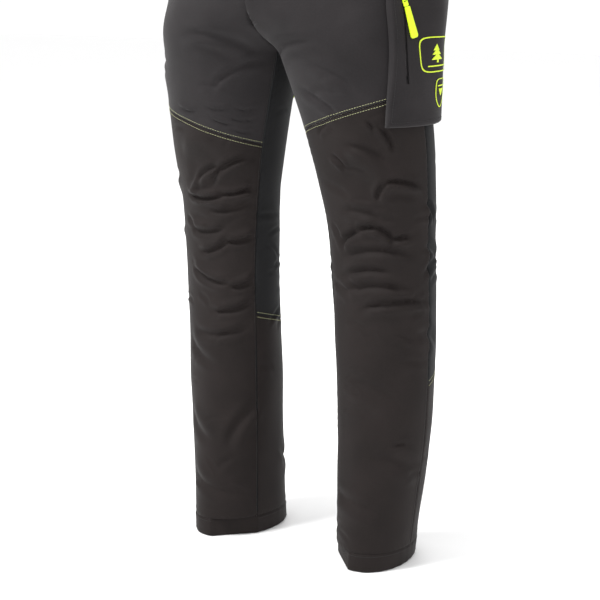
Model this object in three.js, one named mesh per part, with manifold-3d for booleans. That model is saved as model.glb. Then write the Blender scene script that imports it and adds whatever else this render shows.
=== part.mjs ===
// Chainsaw protective trousers: two lined legs with cut-resistant pads, a waistband with belt loops,
// a zipped fly, a zipped bellows pocket on the left thigh and a ventilation zip behind each thigh.
//
// Millimetres. +Z is up, -Y is the front, +X is the wearer's left. The origin is the centre of the
// waist opening, level with the top of the waistband.

import * as THREE from "three";
import { mergeVertices } from "three/addons/utils/BufferGeometryUtils.js";
import Module from "manifold-3d";

const wasm = await Module();
wasm.setup();

// ---------------------------------------------------------------- driving dimensions

const rise = 270; // top of the waistband to the crotch
const inseam = 785; // crotch to the hem

const waistbandHeight = 45;
const waistbandThickness = 3.4;
const hemHeight = 28;

const shellThickness = 1.6; // outer fabric
const padThickness = 6; // stack of cut-resistant layers
const liningThickness = 0.9;
const clearance = 0.4; // between pieces that meet edge to edge
const seamGap = 0.6; // from a slanted seam to the edge of the cloth on each side of it
const lieGap = 1.4; // between a pocket, cover or print and the curved cloth under it
const padGap = 5; // between the outer cloth and the pad behind it
const layerGap = 3; // between the other curved layers of a leg

const midGap = 0.5; // half the distance between the left and the right half

// Sections of the left leg, from the hip down. cx, cy is the leg's axis, a its half width,
// b its half depth and toe the angle by which its front turns outwards.
const legStations = [
  { z: 0, cx: 88, cy: -34, a: 88, b: 106, toe: 0 },
  { z: -200, cx: 93, cy: -36, a: 118, b: 113, toe: 0 },
  { z: -(rise + 32), cx: 110, cy: -21, a: 108, b: 93, toe: 2 },
  { z: -(rise + 160), cx: 129, cy: -4, a: 94, b: 74, toe: 4 },
  { z: -(rise + 286), cx: 137, cy: 13, a: 82, b: 64, toe: 6 },
  { z: -(rise + inseam - 244), cx: 139, cy: 25, a: 73, b: 73, toe: 9 },
  { z: -(rise + inseam), cx: 128, cy: 20, a: 57, b: 84, toe: 12 },
];

// Sections of the hip, which both halves share: half width A, half depth B and the centre's cy.
const hipStations = [
  { z: 0, A: 158, B: 118, cy: 2 },
  { z: -110, A: 190, B: 126, cy: -3 },
  { z: -200, A: 211, B: 130, cy: -10 },
  { z: -(rise + 30), A: 220, B: 130, cy: -12 },
];
const hipBlend = { bottom: -(rise + 20), top: -(rise - 75) }; // where the legs become the hip
const crotchCurve = 40; // height over which the crotch seam turns from front to back

// Seams, as angles round a leg in degrees: 0 is the front, 90 the outer side, 180 the back.
// The inseam moves forwards on its way down.
const outseam = 88;
const inseamTurn = { crotch: -74, calf: -62, length: 430 };

// The slanted seams across a leg: their height at the inseam and at the outseam.
const kneeSeam = {
  left: { inner: -(rise + 136), outer: -(rise + 64) },
  right: { inner: -(rise + 160), outer: -(rise + 98) },
};
const calfSeam = { inner: -(rise + 430), outer: -(rise + 502) };

const zipTape = { halfWidth: 10.5, thickness: 0.8, depth: 4.8 };
const zipTeeth = { width: 2.2, thickness: 2.2, halfGap: 0.8 };
const zipSlot = 11; // width of the slit that shows the teeth
const sliderSize = { length: 12, width: 8.6, plate: 1, post: 0.7, bridge: 6.7, pivot: 4.8 };

const flyZip = { top: -58, bottom: -182, sunk: 5.8 };
const ventZip = { top: -(rise + 64), bottom: -(rise + 214), topAngle: 232, bottomAngle: 236 };
const cargoZip = { top: -203, bottom: -316, topAngle: 80, bottomAngle: 69, sunk: 0.5, slot: 5 };

const cargoPocket = { front: [48, 73], back: [138, 146], top: -182, bottom: -386, depth: 12, wall: 1.6 };
const cargoPrint = { front: [88, 92], back: [122, 126], top: -262, bottom: -358, thickness: 0.4 };

const flyCover = { right: -10, left: 36, top: -48, bottom: -194 };
const waistTab = { right: -24, thickness: 3, hinge: 38.5 };
const snap = { radius: 8.5, height: 2, stud: 3.6, socket: 5.2, seat: 0.6 };

const beltLoop = { width: 12, gap: 8, thickness: 1.6, foot: 6, angles: [-24, 24, -78, 78, -137, 137, 180] };

const backPocket = { front: [152, 152], back: [203, 203], top: -104, bottom: -245, thickness: 1.4 };
const backFlap = { overhang: 1.2, height: 52, top: -92, thickness: 1.6 };

const handPocket = { top: -50, bottom: -168, topAngle: 30, bottomAngle: 78, width: 14, thickness: 1.2 };
const pocketBag = { front: [30, 30], back: [80, 80], top: -60, bottom: -262, thickness: 1.2 };

// ---------------------------------------------------------------- colours

const fabric = (color, roughness = 0.9) => new THREE.MeshStandardMaterial({ color, roughness, metalness: 0 });
const stretchCloth = fabric(0x383637);
const toughCloth = fabric(0x2c2726);
const ventCloth = fabric(0x242424);
const padFelt = fabric(0xd9d4c4);
const liningMesh = fabric(0x1c1d1f);
const pocketCloth = fabric(0x26282b);
const tapeCloth = fabric(0x1b1b1c);
const neonPlastic = new THREE.MeshStandardMaterial({ color: 0xdcf53c, roughness: 0.45, metalness: 0 });
const neonPrint = fabric(0xcbe83a, 0.7);
const darkMetal = new THREE.MeshStandardMaterial({ color: 0x3a3b3d, roughness: 0.35, metalness: 1 });

// ---------------------------------------------------------------- the shape of the cloth

const rad = THREE.MathUtils.degToRad;
const smooth = (x) => THREE.MathUtils.smoothstep(x, 0, 1);
const mix = THREE.MathUtils.lerp;

// A smooth curve through the stations' values of one key, with the slope at each taken from its neighbours.
function along(stations, key) {
  const slope = stations.map((s, i) => {
    const before = stations[Math.max(i - 1, 0)];
    const after = stations[Math.min(i + 1, stations.length - 1)];
    return (after[key] - before[key]) / (after.z - before.z);
  });
  return (z) => {
    const height = THREE.MathUtils.clamp(z, stations[stations.length - 1].z, stations[0].z);
    const i = Math.max(0, stations.findIndex((s) => s.z <= height) - 1);
    const [p, q] = [stations[i], stations[i + 1]];
    const span = q.z - p.z;
    const t = (height - p.z) / span;
    const rest = 1 - t;
    return (
      p[key] * (1 + 2 * t) * rest * rest +
      q[key] * t * t * (3 - 2 * t) +
      span * (slope[i] * t * rest * rest - slope[i + 1] * t * t * rest)
    );
  };
}

const leg = Object.fromEntries(["cx", "cy", "a", "b", "toe"].map((key) => [key, along(legStations, key)]));
const hip = Object.fromEntries(["A", "B", "cy"].map((key) => [key, along(hipStations, key)]));

// Distance from the leg's axis to an ellipse about that axis.
function legRadius(angle, z) {
  const local = angle - rad(leg.toe(z));
  const [a, b] = [leg.a(z), leg.b(z)];
  return (a * b) / Math.hypot(b * Math.sin(local), a * Math.cos(local));
}

// Distance from the leg's axis to the hip's ellipse, which is centred between the legs.
function hipRadius(angle, z) {
  const [A, B] = [hip.A(z), hip.B(z)];
  const [x, y] = [leg.cx(z) / A, (leg.cy(z) - hip.cy(z)) / B];
  const [dx, dy] = [Math.sin(angle) / A, -Math.cos(angle) / B];
  const [p, q, r] = [dx * dx + dy * dy, x * dx + y * dy, x * x + y * y - 1];
  return (-q + Math.sqrt(Math.max(q * q - p * r, 0))) / p;
}

function freeRadius(angle, z) {
  const share = smooth((z - hipBlend.bottom) / (hipBlend.top - hipBlend.bottom));
  return mix(legRadius(angle, z), hipRadius(angle, z), share);
}

// The angle at which a half's cloth meets the middle of the garment, between two angles.
function middleAngle(z, from, to) {
  let [low, high] = [rad(from), rad(to)];
  const inside = (angle) => leg.cx(z) + freeRadius(angle, z) * Math.sin(angle) > midGap;
  for (let i = 0; i < 30; i++) {
    const half = (low + high) / 2;
    if (inside(half)) low = half;
    else high = half;
  }
  return low;
}

// Where the front and the back panel end at the inner side: the inseam, and above it the centre seam.
function innerEdge(z, back) {
  const turn = back ? 2 * Math.PI : 0;
  const { crotch, calf, length } = inseamTurn;
  const seam = rad(mix(crotch, calf, smooth((-rise - z) / length))) + turn;
  if (z <= -rise) return seam;
  const middle = back ? middleAngle(z, 180, 270) : middleAngle(z, 0, -90);
  return mix(seam, middle, smooth((z + rise) / crotchCurve));
}

// The straight line that a zip holds the cloth to, in the left half.
function onCloth(angle, z) {
  const r = freeRadius(rad(angle), z);
  return new THREE.Vector3(
    leg.cx(z) + r * Math.sin(rad(angle)),
    leg.cy(z) - r * Math.cos(rad(angle)),
    z,
  );
}
const zipLines = [
  [onCloth(ventZip.topAngle, ventZip.top), onCloth(ventZip.bottomAngle, ventZip.bottom)],
  [onCloth(cargoZip.topAngle, cargoZip.top), onCloth(cargoZip.bottomAngle, cargoZip.bottom)],
];
const ridge = { reach: 34, fade: 45 };

// How far the cloth is lifted or pressed in so that each zip lies on a straight line.
function zipLift(angle, z) {
  let lift = 0;
  for (const [top, bottom] of zipLines) {
    const t = (top.z - z) / (top.z - bottom.z);
    const past = Math.max(0, z - top.z, bottom.z - z) / ridge.fade;
    if (past >= 1) continue;
    const at = top.clone().lerp(bottom, t);
    const [dx, dy] = [at.x - leg.cx(z), at.y - leg.cy(z)];
    const lineAngle = Math.atan2(dx, -dy);
    const off = Math.atan2(Math.sin(angle - lineAngle), Math.cos(angle - lineAngle)) * Math.hypot(dx, dy);
    const share = Math.exp(-((off / ridge.reach) ** 2)) * (1 - smooth(past));
    lift += share * (Math.hypot(dx, dy) - freeRadius(lineAngle, z));
  }
  return lift;
}

// The outer face of the left half's cloth.
function face(angle, z) {
  const [sin, cos] = [Math.sin(angle), Math.cos(angle)];
  let r = freeRadius(angle, z) + zipLift(angle, z);
  if (sin < 0) r = Math.min(r, (leg.cx(z) - midGap) / -sin);
  return new THREE.Vector3(leg.cx(z) + r * sin, leg.cy(z) - r * cos, z);
}

function faceNormal(angle, z) {
  const round = face(angle + 0.02, z).sub(face(angle - 0.02, z));
  const up = face(angle, z + 2).sub(face(angle, z - 2));
  return round.cross(up).normalize();
}

// A point of one half's cloth. side is 1 for the left and -1 for the right, out is the distance
// outwards from the outer face, measured square to it though the point moves away from the leg's axis.
const leanLimit = 2.4;
function cloth(side, angle, z, out) {
  const point = face(angle, z);
  const away = new THREE.Vector3(Math.sin(angle), -Math.cos(angle), 0);
  const lean = 1 / Math.max(faceNormal(angle, z).dot(away), 1 / leanLimit);
  point.addScaledVector(away, out * lean);
  return point.setX(point.x * side);
}

// A point of the hip at an angle about the garment's own middle, for pieces that both halves carry.
function waist(angle, z, out) {
  const [A, B] = [hip.A(z), hip.B(z)];
  const [sin, cos] = [Math.sin(angle), Math.cos(angle)];
  const r = (A * B) / Math.hypot(B * sin, A * cos) + out;
  return new THREE.Vector3(r * sin, hip.cy(z) - r * cos, z);
}

// ---------------------------------------------------------------- making solids

const garment = new THREE.Group();

function add(name, geometry, material, parent = garment) {
  const mesh = new THREE.Mesh(geometry, material);
  mesh.name = name;
  parent.add(mesh);
  return mesh;
}

function toManifold(geometry) {
  const bare = geometry.index ? geometry.toNonIndexed() : geometry.clone();
  for (const key of Object.keys(bare.attributes)) if (key !== "position") bare.deleteAttribute(key);
  const merged = mergeVertices(bare, 1e-4);
  return new wasm.Manifold(
    new wasm.Mesh({
      numProp: 3,
      vertProperties: merged.attributes.position.array,
      triVerts: new Uint32Array(merged.index.array),
    }),
  );
}

function toGeometry(solid) {
  const { vertProperties, triVerts } = solid.getMesh();
  return new THREE.BufferGeometry()
    .setAttribute("position", new THREE.BufferAttribute(vertProperties, 3))
    .setIndex(new THREE.BufferAttribute(triVerts, 1));
}

const joined = (...parts) => toGeometry(parts.map(toManifold).reduce((whole, part) => whole.add(part)));
const cutBy = (geometry, ...tools) =>
  toGeometry(tools.map(toManifold).reduce((whole, tool) => whole.subtract(tool), toManifold(geometry)));

// A closed shell over a grid: place(u, v, out) gives its points for u and v from 0 to 1. u runs round
// the left leg from front to back or the right leg from back to front, v runs up.
function shell(place, { columns, rows, outer, inner, mirrored = false, ring = false, rowAt = (v) => v }) {
  const across = ring ? columns : columns + 1;
  const positions = [];
  for (const out of [outer, inner])
    for (let j = 0; j <= rows; j++)
      for (let i = 0; i < across; i++) positions.push(...place(i / columns, rowAt(j / rows), out).toArray());
  const at = (layer, i, j) => layer * across * (rows + 1) + j * across + (i % across);
  const faces = [];
  const quad = (a, b, c, d) => faces.push(...(mirrored ? [a, c, b, a, d, c] : [a, b, c, a, c, d]));
  for (let j = 0; j < rows; j++)
    for (let i = 0; i < columns; i++) {
      quad(at(0, i, j), at(0, i + 1, j), at(0, i + 1, j + 1), at(0, i, j + 1));
      quad(at(1, i, j), at(1, i, j + 1), at(1, i + 1, j + 1), at(1, i + 1, j));
    }
  for (let i = 0; i < columns; i++) {
    quad(at(1, i, 0), at(1, i + 1, 0), at(0, i + 1, 0), at(0, i, 0));
    quad(at(0, i, rows), at(0, i + 1, rows), at(1, i + 1, rows), at(1, i, rows));
  }
  if (!ring)
    for (let j = 0; j < rows; j++) {
      quad(at(0, 0, j), at(0, 0, j + 1), at(1, 0, j + 1), at(1, 0, j));
      quad(at(0, columns, j + 1), at(0, columns, j), at(1, columns, j), at(1, columns, j + 1));
    }
  return new THREE.BufferGeometry()
    .setAttribute("position", new THREE.Float32BufferAttribute(positions, 3))
    .setIndex(faces);
}

// An outline in X and Z, extruded along Y from a to b.
function plate(outline, a, b, holes = []) {
  const shape = new THREE.Shape(outline.map(([x, z]) => new THREE.Vector2(x, z)));
  shape.holes = holes.map((hole) => new THREE.Path(hole.map(([x, z]) => new THREE.Vector2(x, z))));
  const geometry = new THREE.ExtrudeGeometry(shape, { depth: b - a, bevelEnabled: false });
  return geometry.rotateX(Math.PI / 2).translate(0, b, 0);
}

const block = (x0, x1, y0, y1, z0, z1) =>
  new THREE.BoxGeometry(x1 - x0, y1 - y0, z1 - z0).translate((x0 + x1) / 2, (y0 + y1) / 2, (z0 + z1) / 2);

// An outline with a narrower top, rounded lower corners and its top edge at z 0.
function tongue(topWidth, bottomWidth, length, corner) {
  const [t, b] = [topWidth / 2, bottomWidth / 2];
  const cut = corner * 0.3;
  return [
    [-t, 0],
    [-b, -length + corner],
    [-b + cut, -length + cut],
    [-b + corner, -length],
    [b - corner, -length],
    [b - cut, -length + cut],
    [b, -length + corner],
    [t, 0],
  ];
}

// ---------------------------------------------------------------- frames that zips and flaps are built in

// A group whose local Z runs up the line from bottom to top, and whose local Y points outwards.
function frameOn(bottom, top, outward) {
  const up = top.clone().sub(bottom).normalize();
  const out = outward.clone().addScaledVector(up, -outward.dot(up)).normalize();
  const sideways = new THREE.Vector3().crossVectors(out, up);
  const group = new THREE.Group();
  group.quaternion.setFromRotationMatrix(new THREE.Matrix4().makeBasis(sideways, out, up));
  group.position.copy(top);
  group.updateMatrixWorld(true);
  return group;
}

// The slit in the cloth over a zip, as a solid in the garment's frame.
function slitOf(frame, length, top = 6, width = zipSlot) {
  const slit = block(-width / 2, width / 2, -12, 16, -length - 10, top);
  return slit.applyMatrix4(frame.matrixWorld);
}

// One half of a zip: its tape with its row of teeth and the stop at its top. sign is the side it is on.
function zipHalf(length, sign, material) {
  const { halfWidth, thickness, depth } = zipTape;
  const inner = zipTeeth.halfGap;
  const low = -length - 14;
  const tape = block(inner + 0.6, halfWidth, -depth - thickness, -depth, low, 5);
  const half = zipTeeth.thickness / 2;
  const middle = -depth - thickness / 2;
  const teeth = block(inner, inner + zipTeeth.width, middle - half, middle + half, -length, 0);
  const stop = block(inner, inner + zipTeeth.width, middle - half - 0.3, middle + half + 0.3, -0.5, 2);
  const geometry = joined(tape, teeth, stop);
  return sign > 0 ? geometry : toGeometry(toManifold(geometry).mirror([1, 0, 0]));
}

// The slider, with its top end at z 0: two plates either side of the tape, the post between the rows
// of teeth and the bridge that the pull hangs from.
function slider() {
  const { length, width, plate: t, post } = sliderSize;
  const middle = -zipTape.depth - zipTape.thickness / 2;
  const gap = zipTeeth.thickness / 2 + clearance;
  const shoulder = width / 2;
  const waistline = shoulder * 0.72;
  const outline = [
    [-shoulder, -1.5],
    [-waistline, -length * 0.62],
    [-waistline, -length + 1.2],
    [-waistline + 1.2, -length],
    [waistline - 1.2, -length],
    [waistline, -length + 1.2],
    [waistline, -length * 0.62],
    [shoulder, -1.5],
    [shoulder - 1.5, 0],
    [-shoulder + 1.5, 0],
  ];
  const upper = plate(outline, middle + gap, middle + gap + t);
  const lower = plate(outline, middle - gap - t, middle - gap);
  const web = block(-post / 2, post / 2, middle - gap - t / 2, middle + gap + t / 2, -length * 0.45, -1);
  const face = middle + gap + t;
  const top = face + sliderSize.bridge;
  const bridge = cutBy(
    block(-0.9, 0.9, face - t / 2, top, -length * 0.82, -length * 0.12),
    block(-2, 2, face, top - 0.9, -length * 0.7, -length * 0.24),
  );
  return joined(upper, lower, web, bridge);
}
const tapeMiddle = -zipTape.depth - zipTape.thickness / 2;
const sliderFace = tapeMiddle + zipTeeth.thickness / 2 + clearance + sliderSize.plate;
const pullPivot = { y: sliderFace + sliderSize.pivot, z: -sliderSize.length * 0.47 };

// The pull that turns on the slider's bridge: a ring round it and a tab that hangs to length. Its
// pivot is at the local origin.
function pull(length, width, thickness, ringHalf = 2.6) {
  const bar = 0.6;
  const reach = 5.6;
  const ring = plate(
    [
      [-ringHalf - 1.3, bar + 0.6],
      [-ringHalf - 1.3, -reach - 1],
      [ringHalf + 1.3, -reach - 1],
      [ringHalf + 1.3, bar + 0.6],
    ],
    -bar,
    bar,
    [
      [
        [-ringHalf, -bar],
        [ringHalf, -bar],
        [ringHalf, -reach + 0.4],
        [-ringHalf, -reach + 0.4],
      ],
    ],
  );
  const tab = plate(tongue(ringHalf * 2 + 2, width, length - reach, 2), -bar, -bar + thickness);
  return joined(ring, tab.translate(0, 0, -reach));
}

// The stop that clamps both tapes below the lowest teeth.
function bottomStop(length) {
  const middle = -zipTape.depth - zipTape.thickness / 2;
  const near = zipTape.thickness / 2 + clearance;
  const wide = zipTeeth.halfGap + zipTeeth.width;
  const [low, high] = [-length - 4, -length - clearance];
  return joined(
    block(-wide, wide, middle + near, middle + near + 0.9, low, high),
    block(-wide, wide, middle - near - 0.9, middle - near, low, high),
    block(-zipTeeth.halfGap, zipTeeth.halfGap, middle - near - 0.4, middle + near + 0.4, low, high),
  );
}

// A whole zip in its own frame. Its slider is at the top, and rest is how far below the top it stands.
function addZip(name, frame, length, tapeMaterial, metal, pullSize) {
  garment.add(frame);
  add(`${name}_tape_outer`, zipHalf(length, 1, tapeMaterial), tapeMaterial, frame);
  add(`${name}_tape_inner`, zipHalf(length, -1, tapeMaterial), tapeMaterial, frame);
  add(`${name}_bottom_stop`, bottomStop(length), metal, frame);
  add(`${name}_slider`, slider().translate(0, 0, -0.8), metal, frame);
  const pivot = new THREE.Group();
  pivot.position.set(0, pullPivot.y, pullPivot.z - 0.8);
  pivot.rotation.y = rad(pullSize.lean ?? 0);
  frame.add(pivot);
  add(`${name}_pull`, pull(pullSize.length, pullSize.width, pullSize.thickness), pullSize.material, pivot);
  return pivot;
}

// ---------------------------------------------------------------- the outer shell of each leg

const shellTop = -waistbandHeight - clearance;
const hemTop = -(rise + inseam) + hemHeight;
const outseamAngle = rad(outseam);

// Height of a slanted seam at an angle round the leg: it falls or rises evenly with the angle.
const seamSpan = { front: rad(outseam - inseamTurn.crotch), back: rad(360 - outseam + inseamTurn.crotch) };
function seamHeight(seam, angle) {
  const forward = (outseamAngle - angle) / seamSpan.front;
  const backward = (angle - outseamAngle) / seamSpan.back;
  return mix(seam.outer, seam.inner, Math.max(forward, backward));
}

// One panel of the outer shell, between two heights that may vary with the angle.
function panel(side, back, bottomOf, topOf, options) {
  const { columns = 10, rows = 10, outer = 0, inner = -shellThickness, trim = 0, rowAt } = options;
  const seamTrim = rad(0.35);
  const place = (u, v, out) => {
    const start = outseamAngle;
    let z = topOf(start);
    let angle = start;
    for (let i = 0; i < 3; i++) {
      const end = innerEdge(z, back);
      const span = back
        ? [start + seamTrim, end - seamTrim - trim]
        : [end + seamTrim + trim, start - seamTrim];
      angle = mix(span[0], span[1], u);
      z = mix(bottomOf(angle), topOf(angle), v);
    }
    return cloth(side, angle, z, out);
  };
  return shell(place, { columns, rows, outer, inner, mirrored: side < 0, rowAt });
}

const level = (z) => () => z;
const above = (seam) => (angle) => seamHeight(seam, angle) + seamGap;
const below = (seam) => (angle) => seamHeight(seam, angle) - seamGap;

// The fly's slit: the front panels stand back from the middle above its bottom.
const flyFrame = frameOn(waist(0, flyZip.bottom, 0), waist(0, flyZip.top, 0), new THREE.Vector3(0, -1, 0));
const flyLength = flyZip.top - flyZip.bottom;
const flySlit = slitOf(flyFrame, flyLength, 80);
flyFrame.translateY(-flyZip.sunk);
flyFrame.updateMatrixWorld(true);

const sides = [
  ["left", 1],
  ["right", -1],
];

// The frame of a zip that lies in one half's cloth, level with the cloth's outer face.
function clothFrame(side, [top, bottom]) {
  const middle = top.clone().lerp(bottom, 0.5);
  const angle = Math.atan2(middle.x - leg.cx(middle.z), leg.cy(middle.z) - middle.y);
  const outward = faceNormal(angle, middle.z);
  return frameOn(...[bottom, top, outward].map((p) => p.clone().setX(p.x * side)));
}

const ventFrames = Object.fromEntries(sides.map(([word, side]) => [word, clothFrame(side, zipLines[0])]));
const ventLength = zipLines[0][0].distanceTo(zipLines[0][1]);

for (const [word, side] of sides) {
  const shinBottom = level(hemTop + clearance);
  const frontThigh = panel(side, false, above(kneeSeam[word]), level(shellTop), { columns: 14, rows: 20 });
  add(`front_thigh_panel_${word}`, cutBy(frontThigh, flySlit), stretchCloth);
  const frontShin = panel(side, false, shinBottom, below(kneeSeam[word]), { rows: 8 });
  add(`front_shin_panel_${word}`, frontShin, toughCloth);
  const backThigh = panel(side, true, above(calfSeam), level(shellTop), { columns: 12, rows: 16 });
  add(`back_thigh_panel_${word}`, cutBy(backThigh, slitOf(ventFrames[word], ventLength)), ventCloth);
  const backCalf = panel(side, true, shinBottom, below(calfSeam), { rows: 8 });
  add(`back_calf_panel_${word}`, backCalf, toughCloth);

  const round = (bottom, top) => (u, v, out) => cloth(side, u * 2 * Math.PI, mix(bottom, top, v), out);
  const hem = shell(round(-(rise + inseam), hemTop), {
    columns: 20, rows: 2, outer: 0.4, inner: -2.6, mirrored: side < 0, ring: true,
  });
  add(`hem_band_${word}`, hem, toughCloth);
  const padInner = -shellThickness - padGap;
  // The rows are closer together at the hip, where the cloth curves most.
  const rowAt = (v) => v * (1.6 - 0.6 * v);
  const padOptions = {
    columns: 13, rows: 26, outer: padInner, inner: padInner - padThickness, trim: rad(20), rowAt,
  };
  const padBottom = level(hemTop + 12);
  add(`cut_protection_pad_${word}`, panel(side, false, padBottom, level(-78), padOptions), padFelt);
  const liningOut = padInner - padThickness - layerGap;
  const liningIn = liningOut - liningThickness;
  const lining = shell(round(hemTop + 8, -(rise + 14)), {
    columns: 18, rows: 10, outer: liningOut, inner: liningIn, mirrored: side < 0, ring: true,
  });
  add(`leg_lining_${word}`, lining, liningMesh);
}

// ---------------------------------------------------------------- ventilation zips

for (const [word] of sides)
  addZip(`vent_zip_${word}`, ventFrames[word], ventLength, tapeCloth, darkMetal, {
    length: 24, width: 7, thickness: 1.8, material: neonPlastic,
  });

// ---------------------------------------------------------------- waistband, belt loops, fly and snap

const bandOuter = 1.5;
const bandInner = bandOuter - waistbandThickness;
const angleAt = (x, z) => Math.atan2(x, -(waistY(x, z) - hip.cy(z)));
function waistY(x, z) {
  return hip.cy(z) - hip.B(z) * Math.sqrt(1 - (x / hip.A(z)) ** 2);
}

const bandLeftEnd = waistTab.hinge + clearance;
const underlapEnd = 15;
const bandPlace = (u, v, out) => {
  const z = mix(-waistbandHeight, 0, v);
  const from = angleAt(bandLeftEnd, z);
  const to = 2 * Math.PI + angleAt(underlapEnd, z);
  return waist(mix(from, to, u), z, out);
};
const waistband = shell(bandPlace, { columns: 40, rows: 2, outer: bandOuter, inner: bandInner });
add("waistband", waistband, stretchCloth);

// The tab's root is level with the band, and its end stands over the underlap.
const tabPlace = (u, v, out) => {
  const x = mix(waistTab.right, waistTab.hinge - clearance, u);
  const z = mix(-waistbandHeight, 0, v);
  const share = smooth((waistTab.hinge - 2 - x) / (waistTab.hinge - 4 - underlapEnd));
  return waist(angleAt(x, z), z, bandOuter + (waistTab.thickness + clearance) * share + out);
};
const tab = shell(tabPlace, { columns: 12, rows: 2, outer: 0, inner: -waistTab.thickness });
const snapMiddle = -waistbandHeight / 2;
const snapPlace = waist(0, snapMiddle, bandOuter);
const snapFrame = frameOn(snapPlace, waist(0, 0, bandOuter), new THREE.Vector3(0, -1, 0));
snapFrame.position.copy(snapPlace);
snapFrame.updateMatrixWorld(true);
garment.add(snapFrame);
const disc = (radius, y0, y1) =>
  new THREE.CylinderGeometry(radius, radius, y1 - y0, 20).translate(0, (y0 + y1) / 2, 0);
const socketHole = disc(snap.socket, -8, 12).applyMatrix4(snapFrame.matrixWorld);
add("waist_tab", cutBy(tab, socketHole), stretchCloth);
const capInner = clearance + waistTab.thickness + snap.seat;
const capHollow = disc(snap.socket - 0.6, capInner - 1, capInner + 0.9);
const cap = cutBy(disc(snap.radius, capInner, capInner + snap.height), capHollow);
add("snap_cap", cap, darkMetal, snapFrame);
add("snap_stud", disc(snap.stud, snap.seat, capInner + 0.3), darkMetal, snapFrame);

const coverPlace = (u, v, out) => {
  const z = mix(flyCover.bottom, flyCover.top, v);
  const corner = 30;
  const lift = Math.max(0, (flyCover.bottom + corner - z) / corner);
  const left = flyCover.left;
  const right = mix(flyCover.right, flyCover.left - 8, lift * lift);
  const x = mix(right, left, u);
  return waist(angleAt(x, z), z, out);
};
const coverShell = shell(coverPlace, { columns: 8, rows: 10, outer: lieGap + 1.4, inner: lieGap });
add("fly_cover", coverShell, stretchCloth);
addZip("fly_zip", flyFrame, flyLength, tapeCloth, darkMetal, {
  length: 14, width: 6, thickness: 1.2, material: darkMetal,
});

const loopReach = bandOuter + clearance;
const loopTop = -1;
const loopBottom = -waistbandHeight - 8;
for (const [i, degrees] of beltLoop.angles.entries()) {
  const foot = beltLoop.foot;
  const out = loopReach + beltLoop.gap;
  const profile = [
    [loopReach, loopTop],
    [out + beltLoop.thickness, loopTop],
    [out + beltLoop.thickness, loopBottom],
    [loopReach, loopBottom],
    [loopReach, loopBottom + foot],
    [out, loopBottom + foot],
    [out, loopTop - foot + 1],
    [loopReach, loopTop - foot + 1],
  ];
  const shape = new THREE.Shape(profile.map(([x, z]) => new THREE.Vector2(x, z)));
  const loop = new THREE.ExtrudeGeometry(shape, { depth: beltLoop.width, bevelEnabled: false });
  loop.translate(0, 0, -beltLoop.width / 2).rotateX(Math.PI / 2);
  const angle = rad(degrees);
  const [low, high] = [waist(angle, loopBottom, 0), waist(angle, loopTop, 0)];
  const tangent = waist(angle + 0.01, loopTop, 0).sub(waist(angle - 0.01, loopTop, 0)).normalize();
  const up = high.clone().sub(low).normalize();
  const outward = new THREE.Vector3().crossVectors(tangent, up).normalize();
  const mesh = add(`belt_loop_${i + 1}`, loop, stretchCloth);
  mesh.quaternion.setFromRotationMatrix(
    new THREE.Matrix4().makeBasis(outward, new THREE.Vector3().crossVectors(up, outward), up),
  );
  mesh.position.copy(high).addScaledVector(up, -loopTop);
}

// ---------------------------------------------------------------- pockets

// A patch that lies on the cloth of one half. front and back are the angles of its two upright edges,
// each at the bottom and at the top.
const patchPlace = (side, front, back, bottom, top) => (u, v, out) =>
  cloth(side, rad(mix(mix(...front, v), mix(...back, v), u)), mix(bottom, top, v), out);

// The cargo pocket: a tray whose open side faces the leg.
const { front, back, top, bottom, depth, wall } = cargoPocket;
const trayOutside = shell(patchPlace(1, front, back, bottom, top), {
  columns: 10, rows: 9, outer: depth, inner: lieGap,
});
const wallAngle = (wall / leg.a(-300)) * (180 / Math.PI);
const hollowFront = front.map((angle) => angle + wallAngle);
const hollowBack = back.map((angle) => angle - wallAngle);
const trayHollow = shell(patchPlace(1, hollowFront, hollowBack, bottom + wall, top - wall), {
  columns: 10, rows: 9, outer: depth - wall, inner: -2,
});
const cargoFrame = clothFrame(1, zipLines[1]);
cargoFrame.translateY(depth - cargoZip.sunk);
cargoFrame.updateMatrixWorld(true);
const cargoLength = zipLines[1][0].distanceTo(zipLines[1][1]);
const cargoSlit = slitOf(cargoFrame, cargoLength, 6, cargoZip.slot);
add("cargo_pocket", cutBy(trayOutside, trayHollow, cargoSlit), stretchCloth);
const cargoPivot = addZip("cargo_zip", cargoFrame, cargoLength, tapeCloth, neonPlastic, {
  length: 12, width: 8, thickness: 1.6, material: neonPlastic, lean: 14,
});
const grip = { top: -12.4, length: 44, inner: 0.2, thickness: 2.8 };
const gripTab = plate(tongue(8, 12, grip.length, 3), grip.inner, grip.inner + grip.thickness);
add("cargo_zip_grip", gripTab.translate(0, 0, grip.top), neonPlastic, cargoPivot);
const print = patchPlace(1, cargoPrint.front, cargoPrint.back, cargoPrint.bottom, cargoPrint.top);
const printInner = depth + lieGap;
const printOuter = printInner + cargoPrint.thickness;
add("pocket_print", shell(print, { columns: 6, rows: 6, outer: printOuter, inner: printInner }), neonPrint);

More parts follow.
